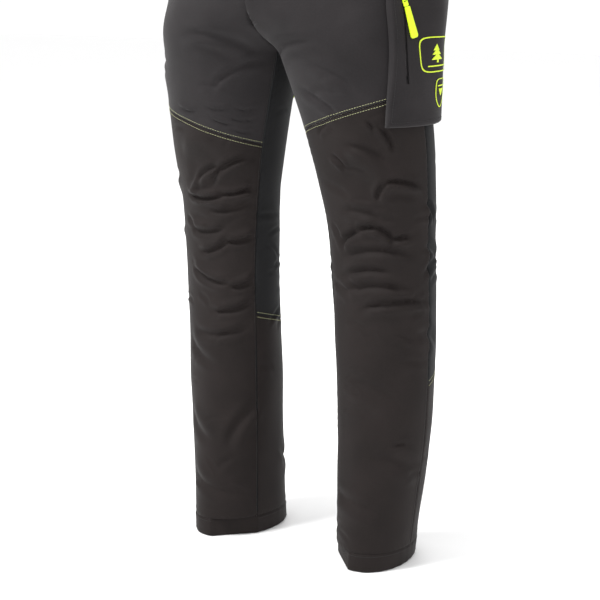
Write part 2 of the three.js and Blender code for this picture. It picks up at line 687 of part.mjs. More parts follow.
for (const [word, side] of sides) {
  const mirrored = side < 0;
  const pocket = patchPlace(side, backPocket.front, backPocket.back, backPocket.bottom, backPocket.top);
  const pocketOuter = lieGap + backPocket.thickness;
  const pocketShell = shell(pocket, { columns: 8, rows: 7, outer: pocketOuter, inner: lieGap, mirrored });
  add(`back_pocket_${word}`, pocketShell, ventCloth);
  const { overhang, height } = backFlap;
  const flapFront = backPocket.front.map((angle) => angle - overhang);
  const flapBack = backPocket.back.map((angle) => angle + overhang);
  const flap = patchPlace(side, flapFront, flapBack, backFlap.top - height, backFlap.top);
  const flapInner = pocketOuter + lieGap;
  const flapShell = shell(flap, {
    columns: 8, rows: 3, outer: flapInner + backFlap.thickness, inner: flapInner, mirrored,
  });
  add(`back_pocket_flap_${word}`, flapShell, ventCloth);

  const welt = (u, v, out) => {
    const middle = mix(handPocket.bottomAngle, handPocket.topAngle, v);
    const z = mix(handPocket.bottom, handPocket.top, v);
    const across = (u - 0.5) * handPocket.width;
    const turn = (across * 1.2) / leg.a(z);
    return cloth(side, rad(middle) + turn, z, out);
  };
  const weltOuter = lieGap + handPocket.thickness;
  const weltShell = shell(welt, { columns: 2, rows: 9, outer: weltOuter, inner: lieGap, mirrored });
  add(`hand_pocket_welt_${word}`, weltShell, stretchCloth);
  const bagOut = -shellThickness - padGap - padThickness - layerGap * 1.4;
  const bag = shell(patchPlace(side, pocketBag.front, pocketBag.back, pocketBag.bottom, pocketBag.top), {
    columns: 6, rows: 8, mirrored, outer: bagOut, inner: bagOut - pocketBag.thickness,
  });
  add(`hand_pocket_bag_${word}`, bag, pocketCloth);
}

export default garment;
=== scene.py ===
import math

import bpy
import numpy as np
from mathutils import Matrix, Vector


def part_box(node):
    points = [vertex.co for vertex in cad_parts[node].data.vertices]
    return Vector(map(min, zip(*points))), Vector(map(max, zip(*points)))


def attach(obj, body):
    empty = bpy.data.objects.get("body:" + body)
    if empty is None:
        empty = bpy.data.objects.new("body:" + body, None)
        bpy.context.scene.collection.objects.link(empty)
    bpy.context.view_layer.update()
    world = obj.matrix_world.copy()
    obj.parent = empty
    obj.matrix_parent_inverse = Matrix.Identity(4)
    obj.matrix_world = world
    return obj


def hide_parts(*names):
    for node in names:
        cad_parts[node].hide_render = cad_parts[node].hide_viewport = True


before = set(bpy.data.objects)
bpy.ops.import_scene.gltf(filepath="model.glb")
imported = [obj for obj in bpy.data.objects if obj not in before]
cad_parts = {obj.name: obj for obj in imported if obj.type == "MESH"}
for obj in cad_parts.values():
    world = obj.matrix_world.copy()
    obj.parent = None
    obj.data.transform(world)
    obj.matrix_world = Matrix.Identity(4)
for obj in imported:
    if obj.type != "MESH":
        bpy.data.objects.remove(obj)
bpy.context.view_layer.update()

bl_info = {
    "name": "Chainsaw protective trousers",
    "version": (1, 0, 0),
    "blender": (4, 5, 0),
    "location": "View3D > Sidebar > Trousers",
    "description": "Builds the cloth, zips, stitching and pads of lined protective work trousers",
    "category": "Add Mesh",
}

MM = 0.001
RISE, INSEAM = 270.0, 785.0
HEM_HEIGHT = 28.0
HEM_Z = -(RISE + INSEAM)
HEM_TOP = HEM_Z + HEM_HEIGHT
BAND = 45.0
MID_GAP = 0.05  # from the middle to the edge of each half, so the centre seams look closed
LEG_RADIUS = 95.0  # turns a distance round a leg into an angle, near enough
SEAM_TRIM = 0.4  # from a slanted seam to the edge of the cloth on each side of it
OUTSEAM = math.radians(88)
INSEAM_TURN = (math.radians(-74), math.radians(-62), 430.0)
KNEE_SEAM = {"left": (-(RISE + 136), -(RISE + 64)), "right": (-(RISE + 160), -(RISE + 98))}
CALF_SEAM = (-(RISE + 430), -(RISE + 502))
BODY = "trousers"
SIDES = (("left", 1), ("right", -1))
FLY_TOP, FLY_BOTTOM, FLY_SUNK = -58.0, -182.0, 5.8
COVER = {"right": -10, "left": 36, "top": -48, "bottom": -194, "corner": -164, "cut": 38}
CARGO_LOW, CARGO_HIGH, CARGO_DEPTH, CARGO_SUNK = -386.0, -182.0, 12.0, 0.5
CARGO_WALL = 1.6
WELT = {"top": -50, "bottom": -168, "width": 14, "front": 30, "back": 78}
BACK_POCKET = {"angles": (152, 203), "low": -245.0, "high": -104.0}
BACK_FLAP = {"angles": (150.8, 204.2), "low": -144.0, "high": -92.0}
LOOP_ANGLES = (-24, 24, -78, 78, -137, 137, 180)
SEWING_PITCH = 3.6  # of the dark rows, which are sewn finer than the contrast rows
DEEPEST_FOLD, HIGHEST_FOLD = 5.6, 8.5  # the pads behind the cloth limit the first


# ------------------------------------------------------------------ the shape of the cloth, in millimetres

LEG = {
    "z": [0, -200, -(RISE + 32), -(RISE + 160), -(RISE + 286), -(RISE + INSEAM - 244), HEM_Z],
    "cx": [88, 93, 110, 129, 137, 139, 128],
    "cy": [-34, -36, -21, -4, 13, 25, 20],
    "a": [88, 118, 108, 94, 82, 73, 57],
    "b": [106, 113, 93, 74, 64, 73, 84],
    "toe": [0, 0, 2, 4, 6, 9, 12],
}
HIP = {
    "z": [0, -110, -200, -(RISE + 30)],
    "A": [158, 190, 211, 220],
    "B": [118, 126, 130, 130],
    "cy": [2, -3, -10, -12],
}
VENT = {"top": -(RISE + 64), "bottom": -(RISE + 214), "angles": (232, 236)}
CARGO = {"top": -203, "bottom": -316, "angles": (80, 69)}


def smooth(x):
    x = np.clip(x, 0.0, 1.0)
    return x * x * (3 - 2 * x)


def along(table, key, z):
    """A smooth curve through one key's values, with the slope at each taken from its neighbours."""
    zs, vs = np.array(table["z"], float), np.array(table[key], float)
    before, after = np.maximum(np.arange(len(zs)) - 1, 0), np.minimum(np.arange(len(zs)) + 1, len(zs) - 1)
    slope = (vs[after] - vs[before]) / (zs[after] - zs[before])
    z = np.clip(z, zs[-1], zs[0])
    i = np.clip(np.searchsorted(-zs, -z, side="left") - 1, 0, len(zs) - 2)
    span = zs[i + 1] - zs[i]
    t = (z - zs[i]) / span
    r = 1 - t
    return (
        vs[i] * (1 + 2 * t) * r * r
        + vs[i + 1] * t * t * (3 - 2 * t)
        + span * (slope[i] * t * r * r - slope[i + 1] * t * t * r)
    )


def free_radius(angle, z):
    """Distance from a leg's axis to the cloth: an ellipse on the leg that becomes the hip's ellipse."""
    a, b = along(LEG, "a", z), along(LEG, "b", z)
    local = angle - np.radians(along(LEG, "toe", z))
    leg = a * b / np.hypot(b * np.sin(local), a * np.cos(local))
    A, B = along(HIP, "A", z), along(HIP, "B", z)
    x, y = along(LEG, "cx", z) / A, (along(LEG, "cy", z) - along(HIP, "cy", z)) / B
    dx, dy = np.sin(angle) / A, -np.cos(angle) / B
    p, q, r = dx * dx + dy * dy, x * dx + y * dy, x * x + y * y - 1
    hip = (-q + np.sqrt(np.maximum(q * q - p * r, 0))) / p
    share = smooth((z + RISE + 20) / 95.0)
    return leg + (hip - leg) * share


def on_cloth(angle, z):
    angle, z = math.radians(angle), np.float64(z)
    r = free_radius(angle, z)
    return np.array([along(LEG, "cx", z) + r * math.sin(angle), along(LEG, "cy", z) - r * math.cos(angle), z])


ZIP_LINES = [(on_cloth(s["angles"][0], s["top"]), on_cloth(s["angles"][1], s["bottom"])) for s in (VENT, CARGO)]


def zip_lift(angle, z):
    """How far the cloth is lifted or pressed in so that each zip lies on a straight line."""
    lift = np.zeros(np.broadcast(angle, z).shape)
    cx, cy = along(LEG, "cx", z), along(LEG, "cy", z)
    for top, bottom in ZIP_LINES:
        t = (top[2] - z) / (top[2] - bottom[2])
        past = np.maximum(0, np.maximum(z - top[2], bottom[2] - z)) / 45.0
        dx, dy = top[0] + (bottom[0] - top[0]) * t - cx, top[1] + (bottom[1] - top[1]) * t - cy
        line, far = np.arctan2(dx, -dy), np.hypot(dx, dy)
        off = np.arctan2(np.sin(angle - line), np.cos(angle - line)) * far
        share = np.exp(-((off / 34.0) ** 2)) * (1 - smooth(past))
        lift = lift + np.where(past < 1, share * (far - free_radius(line, z)), 0)
    return lift


def middle_angle(z, start, stop):
    low, high = np.full(z.shape, math.radians(start)), np.full(z.shape, math.radians(stop))
    for _ in range(30):
        half = (low + high) / 2
        inside = along(LEG, "cx", z) + free_radius(half, z) * np.sin(half) > MID_GAP
        low, high = np.where(inside, half, low), np.where(inside, high, half)
    return low


def inner_edge(z, back):
    """Where the front or the back panel ends at the inner side: the inseam, and above it the centre seam."""
    z = np.atleast_1d(np.asarray(z, float))
    crotch, calf, length = INSEAM_TURN
    seam = crotch + (calf - crotch) * smooth((-RISE - z) / length) + (2 * math.pi if back else 0)
    middle = middle_angle(z, *((180, 270) if back else (0, -90)))
    return np.where(z <= -RISE, seam, seam + (middle - seam) * smooth((z + RISE) / 40.0))


EDGE_Z = np.linspace(HEM_Z - 5, 0, 1200)
EDGES = [inner_edge(EDGE_Z, False), inner_edge(EDGE_Z, True)]


def edge_at(z, back):
    return np.interp(z, EDGE_Z, EDGES[int(back)])


def share_of(angle, z):
    """The angle's place across one half of the garment: 0 at the front's inner edge, 0.5 at the outseam."""
    front = 0.5 * (angle - edge_at(z, 0)) / (OUTSEAM - edge_at(z, 0))
    back = 0.5 + 0.5 * (angle - OUTSEAM) / (edge_at(z, 1) - OUTSEAM)
    return np.where(angle < OUTSEAM, front, back)


def angle_of(share, z):
    f, b = edge_at(z, 0), edge_at(z, 1)
    return np.where(share < 0.5, f + (OUTSEAM - f) * share * 2, OUTSEAM + (b - OUTSEAM) * (share - 0.5) * 2)


def seam_height(seam, angle):
    """Height of a slanted seam, given at the inseam and at the outseam, at an angle round the leg."""
    forward = (OUTSEAM - angle) / (OUTSEAM - INSEAM_TURN[0])
    backward = (angle - OUTSEAM) / (2 * math.pi - OUTSEAM + INSEAM_TURN[0])
    return seam[1] + (seam[0] - seam[1]) * np.maximum(forward, backward)


# ------------------------------------------------------------------ folds

# Each fold: angle and z at both ends in degrees and mm, half width in mm, height in mm (below 0 presses in).
BACK_FOLDS = [
    (150, -462, 222, -478, 9, -4.0),
    (140, -500, 212, -507, 10, -4.4),
    (155, -540, 238, -530, 10, -3.8),
    (146, -592, 224, -604, 13, -3.0),
    (236, -300, 192, -346, 11, -3.2),
    (250, -332, 214, -382, 10, -3.0),
    (160, -682, 228, -702, 17, -2.4),
    (150, -822, 216, -850, 18, -2.4),
    (170, -940, 238, -956, 15, -2.0),
]
FOLDS = {
    "right": [
        (28, -374, 2, -378, 4, -1.6),
        (-11, -371, -36, -372, 4, -1.5),
        (-41, -371, -62, -372, 4, -1.5),
        (-14, -386, -40, -396, 4, -1.8),
        (-36, -386, -62, -388, 4, -1.6),
        (-40, -404, -59, -408, 4, -1.4),
        (-24, -461, 12, -489, 7, -4.8),
        (-20, -470, 26, -505, 9, 2.6),
        (-56, -446, -12, -486, 7, -4.4),
        (31, -512, -26, -506, 6, -4.8),
        (-26, -506, -60, -493, 6, -4.8),
        (-59, -503, -22, -519, 8, 2.8),
        (-4, -532, -60, -516, 8, -3.6),
        (32, -566, -28, -557, 8, -4.2),
        (12, -600, -30, -578, 7, -4.4),
        (-28, -580, -62, -570, 7, -4.0),
        (30, -628, -30, -646, 8, -4.2),
        (-30, -652, -60, -640, 7, -3.8),
        (-5, -692, -58, -674, 8, -3.4),
        (20, -728, -54, -712, 9, -3.0),
        (40, -742, -10, -775, 13, -1.9),
        (-59, -842, -22, -906, 12, -2.8),
        (40, -862, 0, -900, 14, -1.8),
        (30, -956, -40, -984, 13, -2.0),
        (60, -480, 90, -520, 10, -3.0),
        (66, -560, 100, -588, 11, -2.6),
        (60, -330, 86, -300, 9, -2.0),
        (-62, -300, -20, -338, 8, -3.0),
        (-55, -286, 8, -262, 10, -3.0),
        (-20, -420, 30, -440, 26, 2.4),
    ],
    "left": [
        (31, -377, 38, -390, 4, -1.8),
        (44, -386, 53, -420, 6, -3.4),
        (6, -412, 45, -435, 9, -3.2),
        (-18, -430, -4, -447, 6, -2.8),
        (30, -492, 42, -465, 6, -4.4),
        (42, -464, 78, -474, 6, -4.4),
        (-18, -511, 31, -518, 10, -3.0),
        (-26, -561, 1, -539, 7, -4.2),
        (0, -538, 26, -532, 7, -4.8),
        (25, -532, 45, -551, 7, -4.6),
        (44, -551, 63, -547, 6, -3.6),
        (-22, -579, 62, -571, 9, -4.0),
        (-25, -608, 40, -598, 8, -3.4),
        (-24, -632, 62, -623, 9, -3.6),
        (0, -657, 88, -645, 9, -3.2),
        (6, -425, 44, -470, 24, 3.0),
        (86, -498, 97, -526, 6, -3.4),
        (84, -560, 112, -590, 9, -3.0),
        (70, -690, 108, -712, 12, -2.4),
        (-20, -762, 48, -800, 15, -2.0),
        (20, -880, 80, -905, 14, -2.2),
        (-40, -948, 30, -966, 13, -2.0),
        (-30, -400, -12, -385, 5, -1.8),
        (-34, -338, 4, -372, 9, -2.6),
        (-55, -290, 0, -268, 9, -3.0),
        (-10, -300, 26, -330, 10, -1.8),
    ],
}


def small_creases(word):
    """Short creases, most of them round the knee, as (angle, z, angle, z, half width, height)."""
    chance = np.random.RandomState({"left": 11, "right": 23}[word])
    rows = []
    for count, high, low, deepest in ((40, -430, -700, 1.7), (22, -700, -1010, 1.1), (18, -270, -430, 1.0)):
        for _ in range(count):
            angle, z = chance.uniform(-60, 285), chance.uniform(low, high)
            reach, slant = chance.uniform(12, 34), chance.normal(0, 13)
            half, depth = chance.uniform(4.5, 8.5), chance.uniform(0.5, deepest)
            rows.append((angle, z, angle + reach, z + slant, half, -depth))
    return rows


def folds(word, angle, z):
    """How far the cloth stands out from its smooth shape."""
    # Slow swells, as in any cloth that hangs from a waistband.
    arc = angle * LEG_RADIUS
    out = 0.9 * np.sin(arc / 31.0 + z / 57.0) * np.sin(z / 83.0 - arc / 71.0 + 0.6)
    out = out + 0.5 * np.sin(arc / 17.0 - z / 44.0 + 1.1) * np.sin(z / 29.0 + arc / 52.0)
    for a0, z0, a1, z1, half, height in FOLDS[word] + BACK_FOLDS + small_creases(word):
        half, height = half * 0.7, height * 1.7
        a0, a1 = math.radians(a0), math.radians(a1)
        mid_r = float(np.mean(free_radius(np.array([a0, a1]), np.array([z0, z1], float))))
        length = math.hypot((a1 - a0) * mid_r, z1 - z0)
        dx, dz = (a1 - a0) * mid_r / length, (z1 - z0) / length
        for turn in (0, 2 * math.pi, -2 * math.pi):
            px, pz = (angle - a0 - turn) * mid_r, z - z0
            t = (px * dx + pz * dz) / length
            bow = 0.08 * length * (1 - (2 * t - 1) ** 2)
            side = -px * dz + pz * dx - bow
            taper = smooth((t + 0.12) / 0.4) * smooth((1.12 - t) / 0.4)
            crease = np.exp(-((np.abs(side) / (0.85 * half)) ** 1.4))
            upper = np.exp(-(((side - 1.6 * half) / half) ** 2))
            lower = np.exp(-(((side + 1.7 * half) / (1.2 * half)) ** 2))
            out = out + height * taper * (crease - 0.4 * upper - 0.7 * lower)
    limit = np.where(out < 0, DEEPEST_FOLD, HIGHEST_FOLD)
    return limit * np.tanh(out / limit)


def calm(angle, z, word):
    """1 where the cloth may fold, falling to 0 round each zip, at the waist and at the hem."""
    keep = smooth((-z - 75) / 60.0) * smooth((z - HEM_Z - 6) / 40.0)
    for (top, bottom), half in zip(ZIP_LINES, (0, 1)):
        if half == 1 and word == "right":
            continue
        t = (top[2] - z) / (top[2] - bottom[2])
        dx = top[0] + (bottom[0] - top[0]) * t - along(LEG, "cx", z)
        dy = top[1] + (bottom[1] - top[1]) * t - along(LEG, "cy", z)
        line = np.arctan2(dx, -dy)
        off = np.abs(np.arctan2(np.sin(angle - line), np.cos(angle - line))) * np.hypot(dx, dy)
        past = np.maximum(0, np.maximum(z - top[2] - 6, bottom[2] - 30 - z))
        near = np.hypot(np.maximum(off - 14, 0), past)
        keep = keep * smooth(near / 28.0)
    # The two halves stay apart where they meet at the middle and just below the crotch.
    inner = along(LEG, "cx", z) + free_radius(angle, z) * np.sin(angle)
    return keep * np.where(z > -RISE - 60, smooth((inner - 2) / 24.0), 1)


class Half:
    """One half of the garment's outer cloth, as a grid of points that everything on it is laid on."""

    rows, columns = 520, 280

    def __init__(self, word, side):
        self.word, self.side = word, side
        self.z = np.linspace(HEM_Z, -40, self.rows)
        self.u = np.linspace(0, 1, self.columns)
        z, u = np.meshgrid(self.z, self.u, indexing="ij")
        angle = angle_of(u, z)
        self.smooth = self.place(angle, z, 0)
        self.grid = self.place(angle, z, folds(word, angle, z) * calm(angle, z, word))

    @staticmethod
    def place(angle, z, lift):
        cx, cy = along(LEG, "cx", z), along(LEG, "cy", z)
        r = free_radius(angle, z) + zip_lift(angle, z)
        sin = np.sin(angle)
        r = r + lift
        r = np.where(sin < 0, np.minimum(r, (cx - MID_GAP) / np.maximum(-sin, 1e-6)), r)
        return np.stack([cx + r * sin, cy - r * np.cos(angle), z + 0 * angle], -1)

    def sample(self, u, z, grid=None):
        """The grid's point at a share across and a height, on a smooth curve through its points."""
        grid = self.grid if grid is None else grid
        fi = np.clip((z - self.z[0]) / (self.z[1] - self.z[0]), 0, self.rows - 1.0001)
        fj = np.clip(u, 0, 1) * (self.columns - 1) * 0.9999999
        i, j = fi.astype(int), fj.astype(int)
        s, t = (fi - i)[..., None], (fj - j)[..., None]

        def weights(x):
            return (
                0.5 * (-x + 2 * x * x - x**3),
                0.5 * (2 - 5 * x * x + 3 * x**3),
                0.5 * (x + 4 * x * x - 3 * x**3),
                0.5 * (-x * x + x**3),
            )

        loop = z <= -RISE - 2
        total = 0
        for k, wk in enumerate(weights(s)):
            row = np.clip(i + k - 1, 0, self.rows - 1)
            line = 0
            for m, wm in enumerate(weights(t)):
                raw, last = j + m - 1, self.columns - 1
                around = np.where(raw < 0, raw + last, np.where(raw > last, raw - last, raw))
                column = np.where(loop, around, np.clip(raw, 0, last))
                line = line + wm * grid[row, column]
            total = total + wk * line
        return total

    def normal(self, u, z, grid=None):
        du, dz = 1.2 / self.columns, 2.6
        across = self.sample(np.clip(u + du, 0, 1), z, grid) - self.sample(np.clip(u - du, 0, 1), z, grid)
        up = self.sample(u, np.minimum(z + dz, -41), grid) - self.sample(u, np.maximum(z - dz, HEM_Z), grid)
        n = np.cross(across, up)
        return n / np.maximum(np.linalg.norm(n, axis=-1, keepdims=True), 1e-9)

    def at(self, angle, z, out=0.0, flat=False):
        """A point of the cloth at an angle and height, moved out square to it, mirrored on the right half."""
        angle, z = np.broadcast_arrays(np.asarray(angle, float), np.asarray(z, float))
        u, grid = share_of(angle, z), self.smooth if flat else None
        p = self.sample(u, z, grid)
        p = p + self.normal(u, z, grid) * np.broadcast_to(np.asarray(out, float), z.shape)[..., None]
        return p * np.array([self.side, 1, 1])

    def normal_at(self, angle, z, flat=False):
        angle, z = np.broadcast_arrays(np.asarray(angle, float), np.asarray(z, float))
        return self.normal(share_of(angle, z), z, self.smooth if flat else None) * np.array([self.side, 1, 1])


def waist(angle, z, out=0.0):
    """A point of the hip at an angle about the garment's own middle."""
    A, B = along(HIP, "A", z), along(HIP, "B", z)
    sin, cos = np.sin(angle), np.cos(angle)
    r = A * B / np.hypot(B * sin, A * cos) + out
    return np.stack(np.broadcast_arrays(r * sin, along(HIP, "cy", z) - r * cos, z), -1)


def waist_angle(x, z):
    y = along(HIP, "cy", z) - along(HIP, "B", z) * np.sqrt(1 - (x / along(HIP, "A", z)) ** 2)
    return np.arctan2(x, along(HIP, "cy", z) - y)


halves = {}


# ------------------------------------------------------------------ meshes

def arc_lengths(grid):
    """Lengths along the rows and the columns of a grid of points."""
    across = np.zeros(grid.shape[:2])
    across[:, 1:] = np.cumsum(np.linalg.norm(np.diff(grid, axis=1), axis=-1), axis=1)
    up = np.zeros(grid.shape[:2])
    up[1:] = np.cumsum(np.linalg.norm(np.diff(grid, axis=0), axis=-1), axis=0)
    return across, up


def mesh_object(name, points, faces, material, uv=None):
    """points in mm; uv in mm, one pair for each point."""
    mesh = bpy.data.meshes.new(name)
    mesh.from_pydata((np.asarray(points, float) * MM).tolist(), [], [list(map(int, f)) for f in faces])
    if uv is not None:
        layer = mesh.uv_layers.new(name="cloth")
        index = np.zeros(len(mesh.loops), int)
        mesh.loops.foreach_get("vertex_index", index)
        layer.data.foreach_set("uv", (np.asarray(uv, float)[index] * MM).astype(np.float32).ravel())
    mesh.polygons.foreach_set("use_smooth", np.ones(len(mesh.polygons), bool))
    if material:
        mesh.materials.append(material)
    mesh.update()
    obj = bpy.data.objects.new(name, mesh)
    bpy.context.scene.collection.objects.link(obj)
    return obj


def shell_object(name, outer, inner, material, ring=False, mirrored=False):
    """A closed sheet between two grids of points, rows upwards and columns round the garment."""
    rows, columns = outer.shape[:2]
    count = rows * columns
    points = np.concatenate([outer.reshape(-1, 3), inner.reshape(-1, 3)])
    n = columns if ring else columns - 1
    i, j = np.meshgrid(np.arange(rows - 1), np.arange(n), indexing="ij")
    a, b = i * columns + j, i * columns + (j + 1) % columns
    c, d = b + columns, a + columns
    front = np.stack([a, b, c, d], -1).reshape(-1, 4)
    faces = [front, front[:, ::-1] + count]
    k = np.arange(n)
    low, low2 = k, (k + 1) % columns
    top, top2 = low + (rows - 1) * columns, low2 + (rows - 1) * columns
    faces.append(np.stack([low + count, low2 + count, low2, low], -1))
    faces.append(np.stack([top, top2, top2 + count, top + count], -1))
    if not ring:
        m = np.arange(rows - 1)
        left, left2 = m * columns, (m + 1) * columns
        right, right2 = left + columns - 1, left2 + columns - 1
        faces.append(np.stack([left, left2, left2 + count, left + count], -1))
        faces.append(np.stack([right2, right, right + count, right2 + count], -1))
    faces = np.concatenate(faces)
    if mirrored:
        faces = faces[:, ::-1]
    across = arc_lengths(outer)[0]
    mid = across[:, columns // 2][:, None]
    uv = np.stack([across - mid, outer[..., 2]], -1).reshape(-1, 2)
    return mesh_object(name, points, faces, material, np.concatenate([uv, uv]))


def declare(obj, grid, ease=1.0):
    """Works out the width, length and area of the smooth cloth that obj covers; nothing uses them, and obj is
    returned unchanged.
    """
    across, up = arc_lengths(grid)
    width, length = float(across.max()) * MM, float(up.max()) * MM
    a = grid[1:, 1:] - grid[:-1, :-1]
    b = grid[1:, :-1] - grid[:-1, 1:]
    area = float(np.linalg.norm(np.cross(a, b), axis=-1).sum() / 2) * MM * MM * ease
    area = min(area, width * length)
    area = max(area, 0.31 * width * length)
    return obj


def finish_piece(obj, body, nodes=()):
    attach(obj, body)
    if nodes:
        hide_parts(*nodes)
    return obj


def select_only(obj):
    bpy.ops.object.select_all(action="DESELECT")
    obj.select_set(True)
    bpy.context.view_layer.objects.active = obj


def faces_out(obj):
    """Turns every face of a closed mesh outwards."""
    select_only(obj)
    bpy.ops.object.mode_set(mode="EDIT")
    bpy.ops.mesh.select_all(action="SELECT")
    bpy.ops.mesh.normals_make_consistent(inside=False)
    bpy.ops.object.mode_set(mode="OBJECT")


def cut(obj, tool):
    """Cuts the tool's solid out of the object."""
    select_only(obj)
    change = obj.modifiers.new("cut", "BOOLEAN")
    change.operation, change.solver, change.object = "DIFFERENCE", "EXACT", tool
    bpy.ops.object.modifier_apply(modifier=change.name)
    bpy.data.objects.remove(tool)


def box_object(name, low, high, matrix):
    """A box in a frame, as a cutting tool. Sizes in mm."""
    bpy.ops.object.select_all(action="DESELECT")
    size = [(h - l) * MM for l, h in zip(low, high)]
    bpy.ops.mesh.primitive_cube_add(size=1)
    obj = bpy.context.active_object
    obj.name = name
    middle = Vector([(l + h) / 2 * MM for l, h in zip(low, high)])
    obj.data.transform(matrix @ Matrix.Translation(middle) @ Matrix.Diagonal((*size, 1)))
    return obj


# ------------------------------------------------------------------ materials

def colour(hex_text):
    """An sRGB hex colour as linear red, green, blue and alpha."""
    parts = [int(hex_text[i : i + 2], 16) / 255 for i in (1, 3, 5)]
    return [p / 12.92 if p <= 0.04045 else ((p + 0.055) / 1.055) ** 2.4 for p in parts] + [1.0]


def add_node(tree, kind, inputs=(), **settings):
    """Adds a node, sets its properties, and fills or links its inputs by name or number."""
    node = tree.nodes.new(kind)
    for key, value in settings.items():
        setattr(node, key, value)
    for key, value in dict(inputs).items():
        socket = node.inputs[key]
        if isinstance(value, bpy.types.NodeSocket):
            tree.links.new(value, socket)
        else:
            socket.default_value = value
    return node


materials = {}


def new_material(name):
    material = bpy.data.materials.new(name)
    material.use_nodes = True
    tree = material.node_tree
    materials[name] = material
    return material, tree, tree.nodes["Principled BSDF"]


def woven(name, light, dark, pitch, depth, roughness, sheen, diagonal=0.0, mottle=0.6):
    """A woven cloth. pitch is the drawn distance between threads in mm and depth the height of one in mm."""
    material, tree, shader = new_material(name)
    uv = add_node(tree, "ShaderNodeUVMap", uv_map="cloth")
    turned = add_node(tree, "ShaderNodeMapping", {0: uv.outputs[0], "Rotation": (0, 0, math.radians(diagonal))})
    split = add_node(tree, "ShaderNodeSeparateXYZ", {0: turned.outputs[0]})
    waves = []
    for axis, factor in ((0, 1.0), (1, 1.15)):
        turns = {0: split.outputs[axis], 1: 2 * math.pi / (pitch * factor * MM)}
        scaled = add_node(tree, "ShaderNodeMath", turns, operation="MULTIPLY")
        waves.append(add_node(tree, "ShaderNodeMath", {0: scaled.outputs[0]}, operation="SINE"))
    crossing = {0: waves[0].outputs[0], 1: waves[1].outputs[0]}
    weave = add_node(tree, "ShaderNodeMath", crossing, operation="MULTIPLY")
    # Fibres and slubs about 3 mm long break up the even weave.
    fibre = add_node(tree, "ShaderNodeTexNoise", {
        "Vector": uv.outputs[0], "Scale": 1 / (3 * MM), "Detail": 3.0, "Roughness": 0.6})
    height = add_node(tree, "ShaderNodeMath", {
        0: weave.outputs[0], 1: 0.5, 2: fibre.outputs[0]}, operation="MULTIPLY_ADD")
    bump = add_node(tree, "ShaderNodeBump", {
        "Height": height.outputs[0], "Strength": 0.5, "Distance": depth * MM})
    # Wear and handling leave patches about 60 mm wide.
    wear = add_node(tree, "ShaderNodeTexNoise", {
        "Vector": uv.outputs[0], "Scale": 1 / (60 * MM), "Detail": 2.0})
    speck = add_node(tree, "ShaderNodeMath", {
        0: fibre.outputs[0], 1: 0.6, 2: wear.outputs[0]}, operation="MULTIPLY_ADD")
    share = add_node(tree, "ShaderNodeMapRange", {
        "Value": speck.outputs[0], "From Min": 0.8 - mottle, "From Max": 0.8 + mottle})
    mixed = add_node(tree, "ShaderNodeMix", {
        0: share.outputs[0], 6: colour(dark), 7: colour(light)}, data_type="RGBA")
    tree.links.new(mixed.outputs[2], shader.inputs["Base Color"])
    tree.links.new(bump.outputs[0], shader.inputs["Normal"])
    shader.inputs["Roughness"].default_value = roughness
    shader.inputs["Sheen Weight"].default_value = sheen
    shader.inputs["Sheen Roughness"].default_value = 0.45
    shader.inputs["Sheen Tint"].default_value = (1, 1, 1, 1)
    shader.inputs["Specular IOR Level"].default_value = 0.14
    return material


def plain(name, hex_text, roughness, metallic=0.0, grain=0.5):
    """A finish of one colour. grain is the size in mm of the small unevenness of its surface."""
    material, tree, shader = new_material(name)
    shader.inputs["Base Color"].default_value = colour(hex_text)
    shader.inputs["Roughness"].default_value = roughness
    shader.inputs["Metallic"].default_value = metallic
    place = add_node(tree, "ShaderNodeTexCoord")
    noise = add_node(tree, "ShaderNodeTexNoise", {
        "Vector": place.outputs["Object"], "Scale": 1 / (grain * MM), "Detail": 2.0})
    bump = add_node(tree, "ShaderNodeBump", {
        "Height": noise.outputs[0], "Strength": 0.35, "Distance": 0.1 * MM})
    tree.links.new(bump.outputs[0], shader.inputs["Normal"])
    return material


